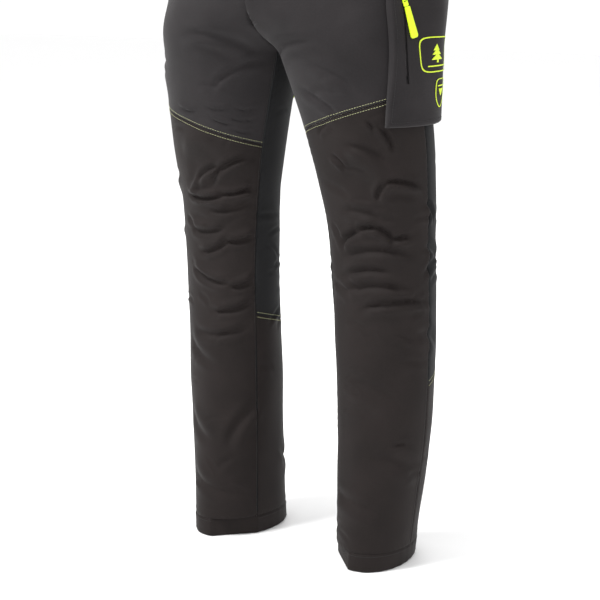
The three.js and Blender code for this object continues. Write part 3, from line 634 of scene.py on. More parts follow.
def make_materials():
    # Softshell with elastane, piece dyed: a close matt face that greys a little where light grazes it.
    woven("stretch_softshell", "#2e2b2c", "#1d1b1c", 1.1, 0.10, 0.86, 0.08, 45)
    # Textured polyamide, plain weave: coarser and warmer than the stretch cloth, with a dull shine on folds.
    woven("tough_polyamide", "#241e1d", "#151110", 1.5, 0.16, 0.70, 0.04, 0)
    # Lighter stretch weave of the seat and the back of the legs: almost black and even.
    woven("stretch_back", "#222223", "#141415", 1.1, 0.10, 0.88, 0.08, 45)
    # Warp-knitted polyester mesh: open, dark and matt.
    woven("knitted_mesh", "#26282a", "#101112", 2.2, 0.4, 0.9, 0.1, 45)
    # Plain polycotton of the pocket bags: flat grey with fine threads.
    woven("pocketing", "#323437", "#222426", 0.8, 0.06, 0.9, 0.1, 0)
    # Warp-knitted cut-protection layers, undyed: soft and off-white.
    woven("pad_knit", "#e4dfcf", "#c9c2ae", 2.6, 0.5, 0.95, 0.2, 0)
    # Woven polyester zip tape: tight black ribs.
    woven("zip_tape_weave", "#242425", "#151516", 0.8, 0.08, 0.85, 0.1, 0)
    # The thigh pocket's tape is charcoal like the cloth, but painted lighter than the cloth to offset the shade
    # in the zip's slit, so its zip hardly shows.
    woven("charcoal_tape_weave", "#4a4748", "#343233", 0.8, 0.08, 0.85, 0.1, 0)
    # Spun polyester thread, dyed pale yellow-green: a dull broken line.
    plain("contrast_thread", "#b4b78a", 0.7, grain=0.4)
    # The same thread dyed black: it shows only as a row of small bumps.
    plain("dark_thread", "#201e1e", 0.7, grain=0.4)
    # Fluorescent acetal, injection moulded: bright yellow-green with a soft shine.
    plain("fluorescent_acetal", "#d8f522", 0.42, grain=0.6)
    # Heat transfer film, pressed on: flat bright yellow-green that shows the weave a little.
    plain("transfer_film", "#cfe52e", 0.6, grain=0.9)
    # Black acetal, moulded: small soft highlights on the teeth.
    plain("black_acetal", "#141414", 0.4, grain=0.5)
    # Acetal in the cloth's charcoal, painted lighter than the cloth to offset the shade in the slit: the thigh
    # zip's teeth melt into the tape.
    plain("charcoal_acetal", "#454243", 0.6, grain=0.5)
    # Dark nickel plate on die-cast zinc: grey mirror softened by handling.
    plain("dark_nickel", "#4a4b4e", 0.32, 1.0, grain=0.3)
    # Painted studio floor, near white and quite matt.
    plain("pale_studio_floor", "#f7f7f7", 0.95, grain=4.0)


# ------------------------------------------------------------------ helpers for laid cloth

def span_of(length, spacing):
    """Fractions from 0 to 1, closer together near both ends, where an edge turns down."""
    ends = np.array([0, 0.7, 1.5, 2.6, 4.0]) / length
    count = max(3, int(round((length - 8) / spacing)) + 1)
    return np.concatenate([ends[:-1], np.linspace(ends[-1], 1 - ends[-1], count), 1 - ends[:-1][::-1]])


def patch(start, end, low, high, width, length, spacing):
    """Angles and heights over a patch. start and end give angles at a height, low and high the reverse."""
    u, v = np.meshgrid(span_of(width, spacing), span_of(length, spacing))
    angle = np.full(u.shape, OUTSEAM)
    for _ in range(4):
        z = low(angle) + (high(angle) - low(angle)) * v
        angle = start(z) + (end(z) - start(z)) * u
    edge = np.minimum(np.minimum(u, 1 - u) * width, np.minimum(v, 1 - v) * length)
    return angle, z, edge


def turned_edge(edge, drop=0.5, reach=1.3, puff=0.3):
    """The height of cloth that turns down at a seam, with the allowance under it lifting it a little."""
    return -drop * np.exp(-((edge / reach) ** 2)) + puff * np.exp(-(((edge - 6) / 3.0) ** 2))


def level(z):
    return lambda angle: z + 0 * angle


def angle_line(bottom_degrees, top_degrees, bottom, top):
    """A line up the cloth between two angles, at the bottom and at the top."""
    low, high = math.radians(bottom_degrees), math.radians(top_degrees)
    return lambda z: low + (high - low) * (z - bottom) / (top - bottom)


def resample(points, pitch):
    """Even steps along a line of points: places, and the direction of the line at each."""
    points = np.asarray(points, float)
    steps = np.concatenate([[0], np.cumsum(np.linalg.norm(np.diff(points, axis=0), axis=1))])
    count = max(2, int(steps[-1] / pitch))
    at = (np.arange(count) + 0.5) * steps[-1] / count
    places = np.stack([np.interp(at, steps, points[:, k]) for k in range(3)], -1)
    ahead = np.stack([np.interp(at + 0.6, steps, points[:, k]) for k in range(3)], -1)
    behind = np.stack([np.interp(at - 0.6, steps, points[:, k]) for k in range(3)], -1)
    return places, ahead - behind, at, steps


def cloth_row(half, angles, heights, out=0.15, pitch=4.0):
    """Frames for stitches along a line on the cloth."""
    points = half.at(angles, heights, out)
    normals = half.normal_at(angles, heights)
    return row_frames(points, normals, pitch)


def row_frames(points, normals, pitch):
    places, tangents, at, steps = resample(points, pitch)
    normals = np.stack([np.interp(at, steps, normals[:, k]) for k in range(3)], -1)
    return frames(places, tangents, normals)


def frames(places, along_x, along_z):
    """4 x 4 matrices with X along one direction and Z as near as can be to another. Places in mm."""
    x = along_x / np.linalg.norm(along_x, axis=1, keepdims=True)
    z = along_z - x * (along_z * x).sum(1, keepdims=True)
    z /= np.linalg.norm(z, axis=1, keepdims=True)
    out = np.tile(np.eye(4), (len(places), 1, 1))
    out[:, :3, 0], out[:, :3, 1], out[:, :3, 2], out[:, :3, 3] = x, np.cross(z, x), z, places * MM
    return out


def copies(name, shape, places, material):
    """One mesh of many copies of a small shape, each in its own frame. The shape itself is removed."""
    co = np.array([tuple(v.co) + (1,) for v in shape.data.vertices])
    polygons = [list(p.vertices) for p in shape.data.polygons]
    points = np.einsum("nij,vj->nvi", places, co)[..., :3].reshape(-1, 3) / MM
    faces = [[i + n * len(co) for i in f] for n in range(len(places)) for f in polygons]
    bpy.data.objects.remove(shape)
    return mesh_object(name, points, faces, material)


def stitch_shape():
    """One stitch: a short plump length of thread, 3 mm long."""
    bpy.ops.object.select_all(action="DESELECT")
    bpy.ops.mesh.primitive_uv_sphere_add(segments=6, ring_count=4, radius=1.0)
    shape = bpy.context.active_object
    bpy.ops.object.mode_set(mode="EDIT")
    bpy.ops.mesh.select_all(action="SELECT")
    bpy.ops.transform.resize(value=(1.55 * MM, 0.36 * MM, 0.30 * MM))
    bpy.ops.object.mode_set(mode="OBJECT")
    return shape


def stitches(name, rows, material, body=BODY):
    obj = copies(name, stitch_shape(), np.concatenate(rows), material)
    return finish_piece(obj, body)


def zip_frame(word):
    """A zip's frame: X across, Y out of the cloth, Z up the line, origin at its top. And its length."""
    if word == "fly":
        top, bottom, out, side = waist(0.0, FLY_TOP), waist(0.0, FLY_BOTTOM), np.array([0, -1.0, 0]), 1
        shift = -FLY_SUNK
    else:
        line, side = (0, 1 if word == "vent_left" else -1) if word.startswith("vent") else (1, 1)
        top, bottom = ZIP_LINES[line]
        middle = (top + bottom) / 2
        z = middle[2]
        angle = math.atan2(middle[0] - along(LEG, "cx", z), along(LEG, "cy", z) - middle[1])

        def face(a, h):
            return Half.place(np.array([a]), np.array([h]), 0)[0]

        out = np.cross(face(angle + 0.02, z) - face(angle - 0.02, z), face(angle, z + 2) - face(angle, z - 2))
        shift = CARGO_DEPTH - CARGO_SUNK if word == "cargo" else 0.0
    flip = np.array([side, 1, 1])
    top, bottom, out = top * flip, bottom * flip, out * flip
    up = (top - bottom) / np.linalg.norm(top - bottom)
    out = out - up * (out @ up)
    out /= np.linalg.norm(out)
    matrix = Matrix.Identity(4)
    for k, axis in enumerate((np.cross(out, up), out, up, (top + out * shift) * MM)):
        for r in range(3):
            matrix[r][k] = axis[r]
    return matrix, float(np.linalg.norm(top - bottom))


def to_frame(matrix, points):
    m = np.array(matrix)
    return np.asarray(points, float) @ m[:3, :3].T + m[:3, 3] / MM


def smooth_angles(obj, degrees=50):
    select_only(obj)
    bpy.ops.object.shade_smooth_by_angle(angle=math.radians(degrees))


def edge_rows(half, start, end, low, high, inset, out, sides="lrbt", pitch=4.0):
    """Rows of stitches a little inside the borders of a patch on the cloth."""
    t = np.linspace(0, 1, 90)
    rows = []
    for side in sides:
        if side in "lr":
            z = np.linspace(float(low(OUTSEAM)) + inset, float(high(OUTSEAM)) - inset, 90)
            line = start(z) if side == "l" else end(z)
            shift = inset / LEG_RADIUS * (1 if side == "l" else -1)
            rows.append(cloth_row(half, line + shift, z, out, pitch))
        else:
            edge = low if side == "b" else high
            z0 = np.full(90, float(edge(OUTSEAM)) + (inset if side == "b" else -inset))
            a, b = start(z0), end(z0)
            angle = a + (b - a) * (0.02 + 0.96 * t)
            rows.append(cloth_row(half, angle, z0, out, pitch))
    return rows


# ------------------------------------------------------------------ settings

class ClothSettings(bpy.types.PropertyGroup):
    thickness: bpy.props.FloatProperty(
        name="Shell thickness", description="Thickness of the outer cloth", default=1.4 * MM,
        min=0.5 * MM, max=4 * MM, unit="LENGTH")
    spacing: bpy.props.FloatProperty(
        name="Mesh spacing", description="Distance between the points of the cloth's mesh", default=2.9 * MM,
        min=2 * MM, max=20 * MM, unit="LENGTH")
    quilting: bpy.props.FloatProperty(
        name="Quilting pitch", description="Distance between the quilted channels of the cut-protection pads",
        default=62 * MM, min=20 * MM, max=200 * MM, unit="LENGTH")


class StitchSettings(bpy.types.PropertyGroup):
    pitch: bpy.props.FloatProperty(
        name="Stitch pitch", description="Distance from one stitch to the next", default=4.0 * MM,
        min=2 * MM, max=10 * MM, unit="LENGTH")
    row_gap: bpy.props.FloatProperty(
        name="Twin row gap", description="Distance between the two rows of contrast stitches along a seam",
        default=7.6 * MM, min=3 * MM, max=20 * MM, unit="LENGTH")


class ZipSettings(bpy.types.PropertyGroup):
    tooth_pitch: bpy.props.FloatProperty(
        name="Tooth pitch", description="Distance from one tooth to the next on the same side",
        default=2.6 * MM, min=1 * MM, max=6 * MM, unit="LENGTH")


class ColourSettings(bpy.types.PropertyGroup):
    contrast: bpy.props.FloatVectorProperty(
        name="Puller colour", description="Colour of the zip pullers that stand out from the cloth", size=4,
        subtype="COLOR", default=colour("#d8f522"), min=0, max=1)


class StageSettings(bpy.types.PropertyGroup):
    distance: bpy.props.FloatProperty(
        name="Camera distance", description="Distance from the garment's middle line to the camera",
        default=2.415, min=0.5, max=10, unit="LENGTH")
    turn: bpy.props.FloatProperty(
        name="Camera turn", description="How far round the front the camera stands", default=math.radians(34),
        subtype="ANGLE")
    pitch: bpy.props.FloatProperty(
        name="Camera pitch", description="How far the camera looks down", default=math.radians(12.1),
        subtype="ANGLE")


# ------------------------------------------------------------------ the outer shell

class BuildShell(bpy.types.Operator):
    """Makes the eight panels of the legs' outer cloth"""

    bl_idname = "trousers.shell"
    bl_label = "Outer shell"

    def panel(self, name, half, back, low, high, material, slot, tools=()):
        cloth = bpy.context.scene.trousers_cloth
        trim = math.radians(0.3)

        def inner_trim(z):
            return trim * smooth((-RISE - 4 - z) / 16.0)

        start = (lambda z: OUTSEAM + trim + 0 * z) if back else (lambda z: edge_at(z, 0) + inner_trim(z))
        end = (lambda z: edge_at(z, 1) - inner_trim(z)) if back else (lambda z: OUTSEAM - trim + 0 * z)
        length = float(high(OUTSEAM) - low(OUTSEAM))
        angle, z, edge = patch(start, end, low, high, 300.0, abs(length), cloth.spacing / MM)
        pucker = 0.22 * np.sin(z / 1.9 + angle * 47.0) * np.exp(-((edge / 7.0) ** 2))
        lift = turned_edge(edge) + pucker
        outer = half.at(angle, z, lift)
        inner = half.at(angle, z, lift - cloth.thickness / MM)
        flat = half.at(angle, z, 0, flat=True)
        obj = shell_object(name, outer, inner, materials[material], mirrored=half.side < 0)
        for matrix, top, bottom in tools:
            cut(obj, box_object("slit", (-5.5, -12, bottom), (5.5, 16, top), matrix))
        smooth_angles(obj)
        finish_piece(obj, BODY, [name.replace("shell_", "")])
        declare(obj, flat)

    def execute(self, context):
        fly, fly_length = zip_frame("fly")
        fly_face = fly @ Matrix.Translation((0, FLY_SUNK * MM, 0))
        for word, _ in SIDES:
            half = halves[word]
            vent, vent_length = zip_frame(f"vent_{word}")
            knee, calf = KNEE_SEAM[word], CALF_SEAM
            hem, top = level(HEM_TOP + 0.4), level(-BAND - 0.4)

            def seam(heights, side):
                return lambda a: seam_height(heights, a) + side * SEAM_TRIM

            self.panel(f"shell_front_thigh_panel_{word}", half, False, seam(knee, 1), top,
                       "stretch_softshell", "stretch_cloth", [(fly_face, 80, -fly_length - 10)])
            self.panel(f"shell_front_shin_panel_{word}", half, False, hem, seam(knee, -1),
                       "tough_polyamide", "tough_cloth")
            self.panel(f"shell_back_thigh_panel_{word}", half, True, seam(calf, 1), top,
                       "stretch_back", "back_cloth", [(vent, 6, -vent_length - 10)])
            self.panel(f"shell_back_calf_panel_{word}", half, True, hem, seam(calf, -1),
                       "tough_polyamide", "tough_cloth")
        return {"FINISHED"}


class BuildHems(bpy.types.Operator):
    """Makes the turned hem at the bottom of each leg"""

    bl_idname = "trousers.hems"
    bl_label = "Hems"

    def execute(self, context):
        for word, side in SIDES:
            half = halves[word]
            columns = 150
            u, v = np.meshgrid(np.linspace(0, 2 * math.pi, columns, endpoint=False), span_of(HEM_HEIGHT, 3))
            z = HEM_Z + HEM_HEIGHT * v
            edge = np.minimum(v, 1 - v) * HEM_HEIGHT
            lift = 0.5 - 1.3 * np.exp(-((edge / 1.5) ** 2)) + 0.25 * np.sin(u * 22) * np.exp(-((edge / 9) ** 2))
            obj = shell_object(f"hem_{word}", half.at(u, z, lift), half.at(u, z, np.minimum(lift, 0.2) - 2.6),
                               materials["tough_polyamide"], ring=True, mirrored=side < 0)
            smooth_angles(obj)
            finish_piece(obj, BODY, [f"hem_band_{word}"])
            ring = half.at(u, z, 0)
            declare(obj, np.concatenate([ring, ring[:, :1]], 1))
        return {"FINISHED"}


class BuildInside(bpy.types.Operator):
    """Makes what the shell hides: the cut-protection pads, the mesh linings and the hand pockets' bags"""

    bl_idname = "trousers.inside"
    bl_label = "Pads, linings and bags"

    def execute(self, context):
        pitch = context.scene.trousers_cloth.quilting / MM
        for word, side in SIDES:
            half = halves[word]
            trim = math.radians(20)
            angle, z, edge = patch(
                lambda z: edge_at(z, 0) + trim, lambda z: OUTSEAM - math.radians(3) + 0 * z,
                level(HEM_TOP + 13), level(-79.0), 220.0, 920.0, 6.0)
            seat = np.minimum(edge / 9.0, 1.0)
            plump = np.sqrt(np.maximum(1 - (1 - seat) ** 2, 0))
            channel = np.exp(-(((z / pitch) % 1 - 0.5) * pitch / 3.2) ** 2)
            swell = 2.7 * plump * (1 - 0.45 * channel) + 0.25
            middle = half.at(angle, z, -10.7, flat=True)
            normal = half.normal_at(angle, z, flat=True)
            plump = normal * swell[..., None]
            obj = shell_object(f"pad_{word}", middle + plump, middle - plump, materials["pad_knit"],
                               mirrored=side < 0)
            smooth_angles(obj)
            finish_piece(obj, BODY, [f"cut_protection_pad_{word}"])

            u, v = np.meshgrid(np.linspace(0, 2 * math.pi, 90, endpoint=False), span_of(735, 8))
            z = HEM_TOP + 8 + 743 * v
            ripple = 0.5 * np.sin(u * 9 + z / 40) * np.sin(z / 23)
            face = half.at(u, z, -15.9 + ripple * 0.6, flat=True)
            obj = shell_object(f"lining_{word}", face, half.at(u, z, -16.5 + ripple * 0.6, flat=True),
                               materials["knitted_mesh"], ring=True, mirrored=side < 0)
            finish_piece(obj, BODY, [f"leg_lining_{word}"])
            declare(obj, np.concatenate([face, face[:, :1]], 1))

            low, high = -262.0, -60.0
            angle, z, edge = patch(lambda z: math.radians(30) + 0 * z, lambda z: math.radians(80) + 0 * z,
                                   level(low), level(high), 90.0, 200.0, 6.0)
            belly = 0.4 * np.sin(z / 13.0 + angle * 9)
            outer = half.at(angle, z, -16.9 + belly * 0.5, flat=True)
            obj = shell_object(f"pocket_bag_{word}", outer, half.at(angle, z, -17.8 + belly * 0.5, flat=True),
                               materials["pocketing"], mirrored=side < 0)
            finish_piece(obj, BODY, [f"hand_pocket_bag_{word}"])
            declare(obj, outer)
        return {"FINISHED"}


# ------------------------------------------------------------------ the waist

class BuildWaist(bpy.types.Operator):
    """Makes the waistband, its tab and the belt loops"""

    bl_idname = "trousers.waist"
    bl_label = "Waistband, tab and loops"

    def band(self):
        u, v = np.meshgrid(span_of(840, 4), span_of(BAND, 3))
        z = -BAND + BAND * v
        start, end = waist_angle(38.9, z), 2 * math.pi + waist_angle(15, z)
        angle = start + (end - start) * u
        edge = np.minimum(v, 1 - v) * BAND
        lift = 1.5 - 1.2 * np.exp(-((edge / 1.6) ** 2)) - 0.25 * np.exp(-(((edge - 4) / 0.9) ** 2))
        lift = lift - 0.35 * (1 + np.sin(angle * 31 + z / 17)) / 2
        outer, inner = waist(angle, z, lift), waist(angle, z, -1.9 + 0.5 * np.exp(-((edge / 1.6) ** 2)))
        obj = shell_object("waistband_cloth", outer, inner, materials["stretch_softshell"])
        smooth_angles(obj)
        finish_piece(obj, BODY, ["waistband"])
        declare(obj, outer)

    def tab(self):
        u, v = np.meshgrid(span_of(63, 3), span_of(BAND, 3))
        z = -BAND + BAND * v
        edge = np.minimum(v, 1 - v) * BAND
        right = -24 + 8 * np.clip(1 - edge / 8, 0, 1) ** 2
        x = right + (38.1 - right) * u
        share = smooth((38.5 - 2 - x) / (38.5 - 4 - 15))
        side = np.minimum(edge, u * 63)
        lift = 1.5 + 3.4 * share - 0.9 * np.exp(-((side / 1.5) ** 2)) - 0.2 * np.exp(-(((side - 4) / 0.9) ** 2))
        angle = waist_angle(x, z)
        outer = waist(angle, z, lift)
        inner = waist(angle, z, 1.5 + 3.4 * share - 2.9)
        obj = shell_object("waist_tab_cloth", outer, inner, materials["stretch_softshell"])
        low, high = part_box("snap_stud")
        bpy.ops.object.select_all(action="DESELECT")
        middle = (low + high) / 2
        tilt = math.atan2(0.117, 0.993)
        bpy.ops.mesh.primitive_cylinder_add(vertices=32, radius=5.3 * MM, depth=30 * MM, location=middle,
                                            rotation=(math.pi / 2 - tilt, 0, 0))
        cut(obj, bpy.context.active_object)
        smooth_angles(obj)
        finish_piece(obj, "waist_tab", ["waist_tab"])
        declare(obj, outer)

    def loop(self, number, degrees):
        """A strap sewn down at both ends that stands off the band in between."""
        angle = math.radians(degrees)
        low, high = waist(angle, -53.0), waist(angle, -1.0)
        tangent = waist(angle + 0.01, -1.0) - waist(angle - 0.01, -1.0)
        up = (high - low) / np.linalg.norm(high - low)
        out = np.cross(tangent, up)
        out /= np.linalg.norm(out)
        sideways = np.cross(up, out)
        path = np.array([
            (3.0, -8.5), (3.0, -4.5), (4.4, -1.9), (7.4, -1.2), (9.9, -2.6), (10.6, -6.5), (10.7, -14),
            (10.5, -26), (10.7, -38), (10.6, -45.5), (9.9, -49.6), (7.4, -51.2), (4.4, -50.4), (3.0, -47.6),
            (3.0, -43.5)])
        t = np.linspace(0, len(path) - 1, 70)
        keys = np.arange(len(path))
        line = np.stack([np.interp(t, keys, path[:, k]) for k in (0, 1)], -1)
        for _ in range(3):
            line[1:-1] = (line[:-2] + 2 * line[1:-1] + line[2:]) / 4
        slope = np.gradient(line, axis=0)
        slope /= np.linalg.norm(slope, axis=1, keepdims=True)
        normal = np.stack([-slope[:, 1], slope[:, 0]], -1)
        across = np.array([-6, -5.6, -4.6, -3.4, -1.7, 0, 1.7, 3.4, 4.6, 5.6, 6.0])
        rim = 0.75 - 0.45 * np.exp(-(((6 - np.abs(across)) / 0.7) ** 2))
        rim = rim - 0.12 * np.exp(-(((4.1 - np.abs(across)) / 0.5) ** 2))
        grids = []
        for sign in (1, -1):
            p = line[:, None, :] + sign * normal[:, None, :] * rim[None, :, None]
            grids.append(high + p[..., :1] * out + (p[..., 1:] + 1.0) * up + across[None, :, None] * sideways)
        obj = shell_object(f"loop_{number}", grids[1], grids[0], materials["stretch_softshell"])
        faces_out(obj)
        smooth_angles(obj, 60)
        finish_piece(obj, BODY, [f"belt_loop_{number}"])
        declare(obj, grids[0])

    def execute(self, context):
        self.band()
        self.tab()
        for i, degrees in enumerate(LOOP_ANGLES):
            self.loop(i + 1, degrees)
        return {"FINISHED"}


def cover_edge(z):
    """How far right the fly cover reaches: straight down, then cut back in a curve."""
    return COVER["right"] + COVER["cut"] * np.maximum(0, (COVER["corner"] - z) / 30) ** 2


class BuildFly(bpy.types.Operator):
    """Makes the cover that lies over the fly's zip"""

    bl_idname = "trousers.fly"
    bl_label = "Fly cover"

    def execute(self, context):
        length = COVER["top"] - COVER["bottom"]
        u, v = np.meshgrid(span_of(COVER["left"] - COVER["right"], 3), span_of(length, 3))
        z = COVER["bottom"] + length * v
        right = cover_edge(z)
        x = right + (COVER["left"] - right) * u
        edge = np.minimum(u * (COVER["left"] - right), np.minimum(v, 1 - v) * length)
        ripple = 0.2 * np.sin(z / 11 + x / 9)
        lift = 2.6 - 0.7 * np.exp(-((edge / 1.3) ** 2)) - 0.2 * np.exp(-(((edge - 5) / 0.9) ** 2)) + ripple
        angle = waist_angle(x, z)
        outer = waist(angle, z, lift)
        obj = shell_object("fly_cover_cloth", outer, waist(angle, z, np.minimum(lift - 0.5, 1.4)),
                           materials["stretch_softshell"])
        smooth_angles(obj)
        finish_piece(obj, "fly_cover", ["fly_cover"])
        declare(obj, outer)
        return {"FINISHED"}


# ------------------------------------------------------------------ pockets

def welt_middle(z):
    """Angle of a hand pocket's welt, which slants from the waistband down to the outer side."""
    share = (z - WELT["bottom"]) / (WELT["top"] - WELT["bottom"])
    return np.radians(WELT["back"] + (WELT["front"] - WELT["back"]) * share)


def pocket_sides(size):
    """Start, end, low and high borders of a back pocket or its flap."""
    low, high = size["low"], size["high"]
    return *(angle_line(a, a, low, high) for a in size["angles"]), level(low), level(high)


class BuildPockets(bpy.types.Operator):
    """Makes the hand pockets' welts and the back pockets with their flaps"""

    bl_idname = "trousers.pockets"
    bl_label = "Hand and back pockets"

    def execute(self, context):
        for word, side in SIDES:
            half = halves[word]
            wide, long = WELT["width"], 130
            u, v = np.meshgrid(span_of(wide, 2), span_of(long, 3))
            z = WELT["bottom"] + (WELT["top"] - WELT["bottom"]) * v
            angle = welt_middle(z) + (u - 0.5) * wide * 1.2 / along(LEG, "a", z)
            edge = np.minimum(np.minimum(u, 1 - u) * wide, np.minimum(v, 1 - v) * long)
            lift = 2.5 - 0.7 * np.exp(-((edge / 1.2) ** 2))
            outer = half.at(angle, z, lift)
            obj = shell_object(f"welt_{word}", outer, half.at(angle, z, 1.4), materials["stretch_softshell"],
                               mirrored=side < 0)
            smooth_angles(obj)
            finish_piece(obj, BODY, [f"hand_pocket_welt_{word}"])
            declare(obj, outer)

            for name, node, body, size, base, thick in (
                ("back_pocket_cloth", "back_pocket", BODY, BACK_POCKET, 1.4, 1.3),
                ("back_flap_cloth", "back_pocket_flap", f"back_pocket_flap_{word}", BACK_FLAP, 4.2, 1.5),
            ):
                angle, z, edge = patch(*pocket_sides(size), 140.0, size["high"] - size["low"], 3.4)
                ripple = 0.2 * np.sin(angle * 23 + z / 15) * np.minimum(edge / 12, 1)
                lift = base + thick - 0.75 * np.exp(-((edge / 1.3) ** 2)) + ripple
                outer = half.at(angle, z, lift)
                obj = shell_object(f"{name}_{word}", outer, half.at(angle, z, base), materials["stretch_back"],
                                   mirrored=side < 0)
                smooth_angles(obj)
                finish_piece(obj, body, [f"{node}_{word}"])
                declare(obj, outer)
        return {"FINISHED"}


cargo_front = angle_line(48, 73, CARGO_LOW, CARGO_HIGH)
cargo_back = angle_line(138, 146, CARGO_LOW, CARGO_HIGH)


def pocket_fill(angle, z):
    """How far the bellows pocket's face bulges between its zip and its back edge."""
    across = smooth((angle - math.radians(84)) / 0.42) * smooth((math.radians(150) - angle) / 0.5)
    return across * (9.5 * smooth((z + 392) / 110.0) + 5.5 * smooth((z + 320) / 110.0))


class BuildCargo(bpy.types.Operator):
    """Makes the bellows pocket on the left thigh and the outlines printed on it"""

    bl_idname = "trousers.cargo"
    bl_label = "Cargo pocket"

    def execute(self, context):
        half = halves["left"]
        low, high = CARGO_LOW, CARGO_HIGH
        angle, z, edge = patch(cargo_front, cargo_back, level(low), level(high), 160.0, high - low, 2.6)
        rise = np.clip(edge / 5.0, 0, 1)
        crown = np.sqrt(np.maximum(1 - (1 - rise) ** 2, 0))
        ripple = 0.35 * np.sin(angle * 17 + z / 19) * np.minimum(edge / 20, 1)
        ripple = ripple * np.exp(-((edge - 20) / 60) ** 2)
        lift = CARGO_WALL + (CARGO_DEPTH + pocket_fill(angle, z) - CARGO_WALL) * crown
        lift = lift - 0.35 * np.exp(-(((edge - 8.5) / 1.2) ** 2)) + ripple
        outer = half.at(angle, z, lift, flat=True)
        inner = half.at(angle, z, np.maximum(lift - 1.5, 1.4), flat=True)
        inner = np.where((edge < 0.4)[..., None], half.at(angle, z, 1.4, flat=True), inner)
        obj = shell_object("cargo_pocket_cloth", outer, inner, materials["stretch_softshell"])
        matrix, length = zip_frame("cargo")
        cut(obj, box_object("slit", (-2.5, -12, -length - 10), (2.5, 16, 6), matrix))
        smooth_angles(obj)
        finish_piece(obj, BODY, ["cargo_pocket"])
        declare(obj, outer)

        # Heat transfer film: a rounded frame over a shield, with a plain tree and bars in them. Sizes in mm.
        def film(name, x, y, centre, ring=False):
            angle, z = math.radians(centre[0]) + x / 108.0 + 0.0015 * y, centre[1] + y
            face = CARGO_DEPTH + pocket_fill(angle, z)
            outer, inner = (half.at(angle, z, face + out, flat=True) for out in (0.75, 0.35))
            parts.append(shell_object(name, outer, inner, materials["transfer_film"], ring=ring))

        def block(centre, low_width, high_width, height):
            """A bar, or a triangle where one width is close to 0."""
            rows, columns = np.meshgrid(np.linspace(0, 1, 5), np.linspace(-1, 1, 7), indexing="ij")
            film("print_block", columns * (low_width + (high_width - low_width) * rows) / 2,
                 (rows - 0.5) * height, centre)

        parts = []
        t = np.linspace(0, 2 * math.pi, 160, endpoint=False)
        stroke = 1.7
        width, height = np.array([[33.0], [33.0 - stroke]]), np.array([[25.0], [25.0 - stroke]])
        film("print_frame", width * np.sign(np.cos(t)) * np.abs(np.cos(t)) ** 0.4,
             height * np.sign(np.sin(t)) * np.abs(np.sin(t)) ** 0.4, (101.0, -287.7), ring=True)
        width, height = np.array([[14.5], [14.5 - stroke]]), np.array([[23.6], [23.6 - stroke]])
        side = width * np.sign(np.cos(t)) * np.abs(np.cos(t)) ** 0.45
        film("print_shield", side * np.where(np.sin(t) < 0, np.sqrt(1 - 0.86 * np.sin(t) ** 2), 1),
             height * np.where(np.sin(t) < 0, np.sin(t), 0.7 * np.sign(np.sin(t)) * np.abs(np.sin(t)) ** 0.4),
             (102.0, -338.5), ring=True)
        for lift_z, wide in ((0.0, 20.0), (7.0, 15.0), (13.0, 10.0)):
            block((98.5, -291.0 + lift_z), wide, 0.4, 9.0)
        block((98.5, -297.5), 3.0, 3.0, 4.0)
        block((98.5, -304.0), 36.0, 36.0, 1.7)
        block((102.0, -332.0), 16.0, 16.0, 1.8)
        block((102.0, -341.0), 1.2, 14.0, 10.0)
        bpy.ops.object.select_all(action="DESELECT")
        for part in parts:
            part.select_set(True)
        bpy.context.view_layer.objects.active = parts[0]
        bpy.ops.object.join()
        obj = bpy.context.active_object
        obj.name = "pocket_outlines"
        faces_out(obj)
        finish_piece(obj, BODY, ["pocket_print"])
        return {"FINISHED"}


# ------------------------------------------------------------------ zips, stitches and hardware

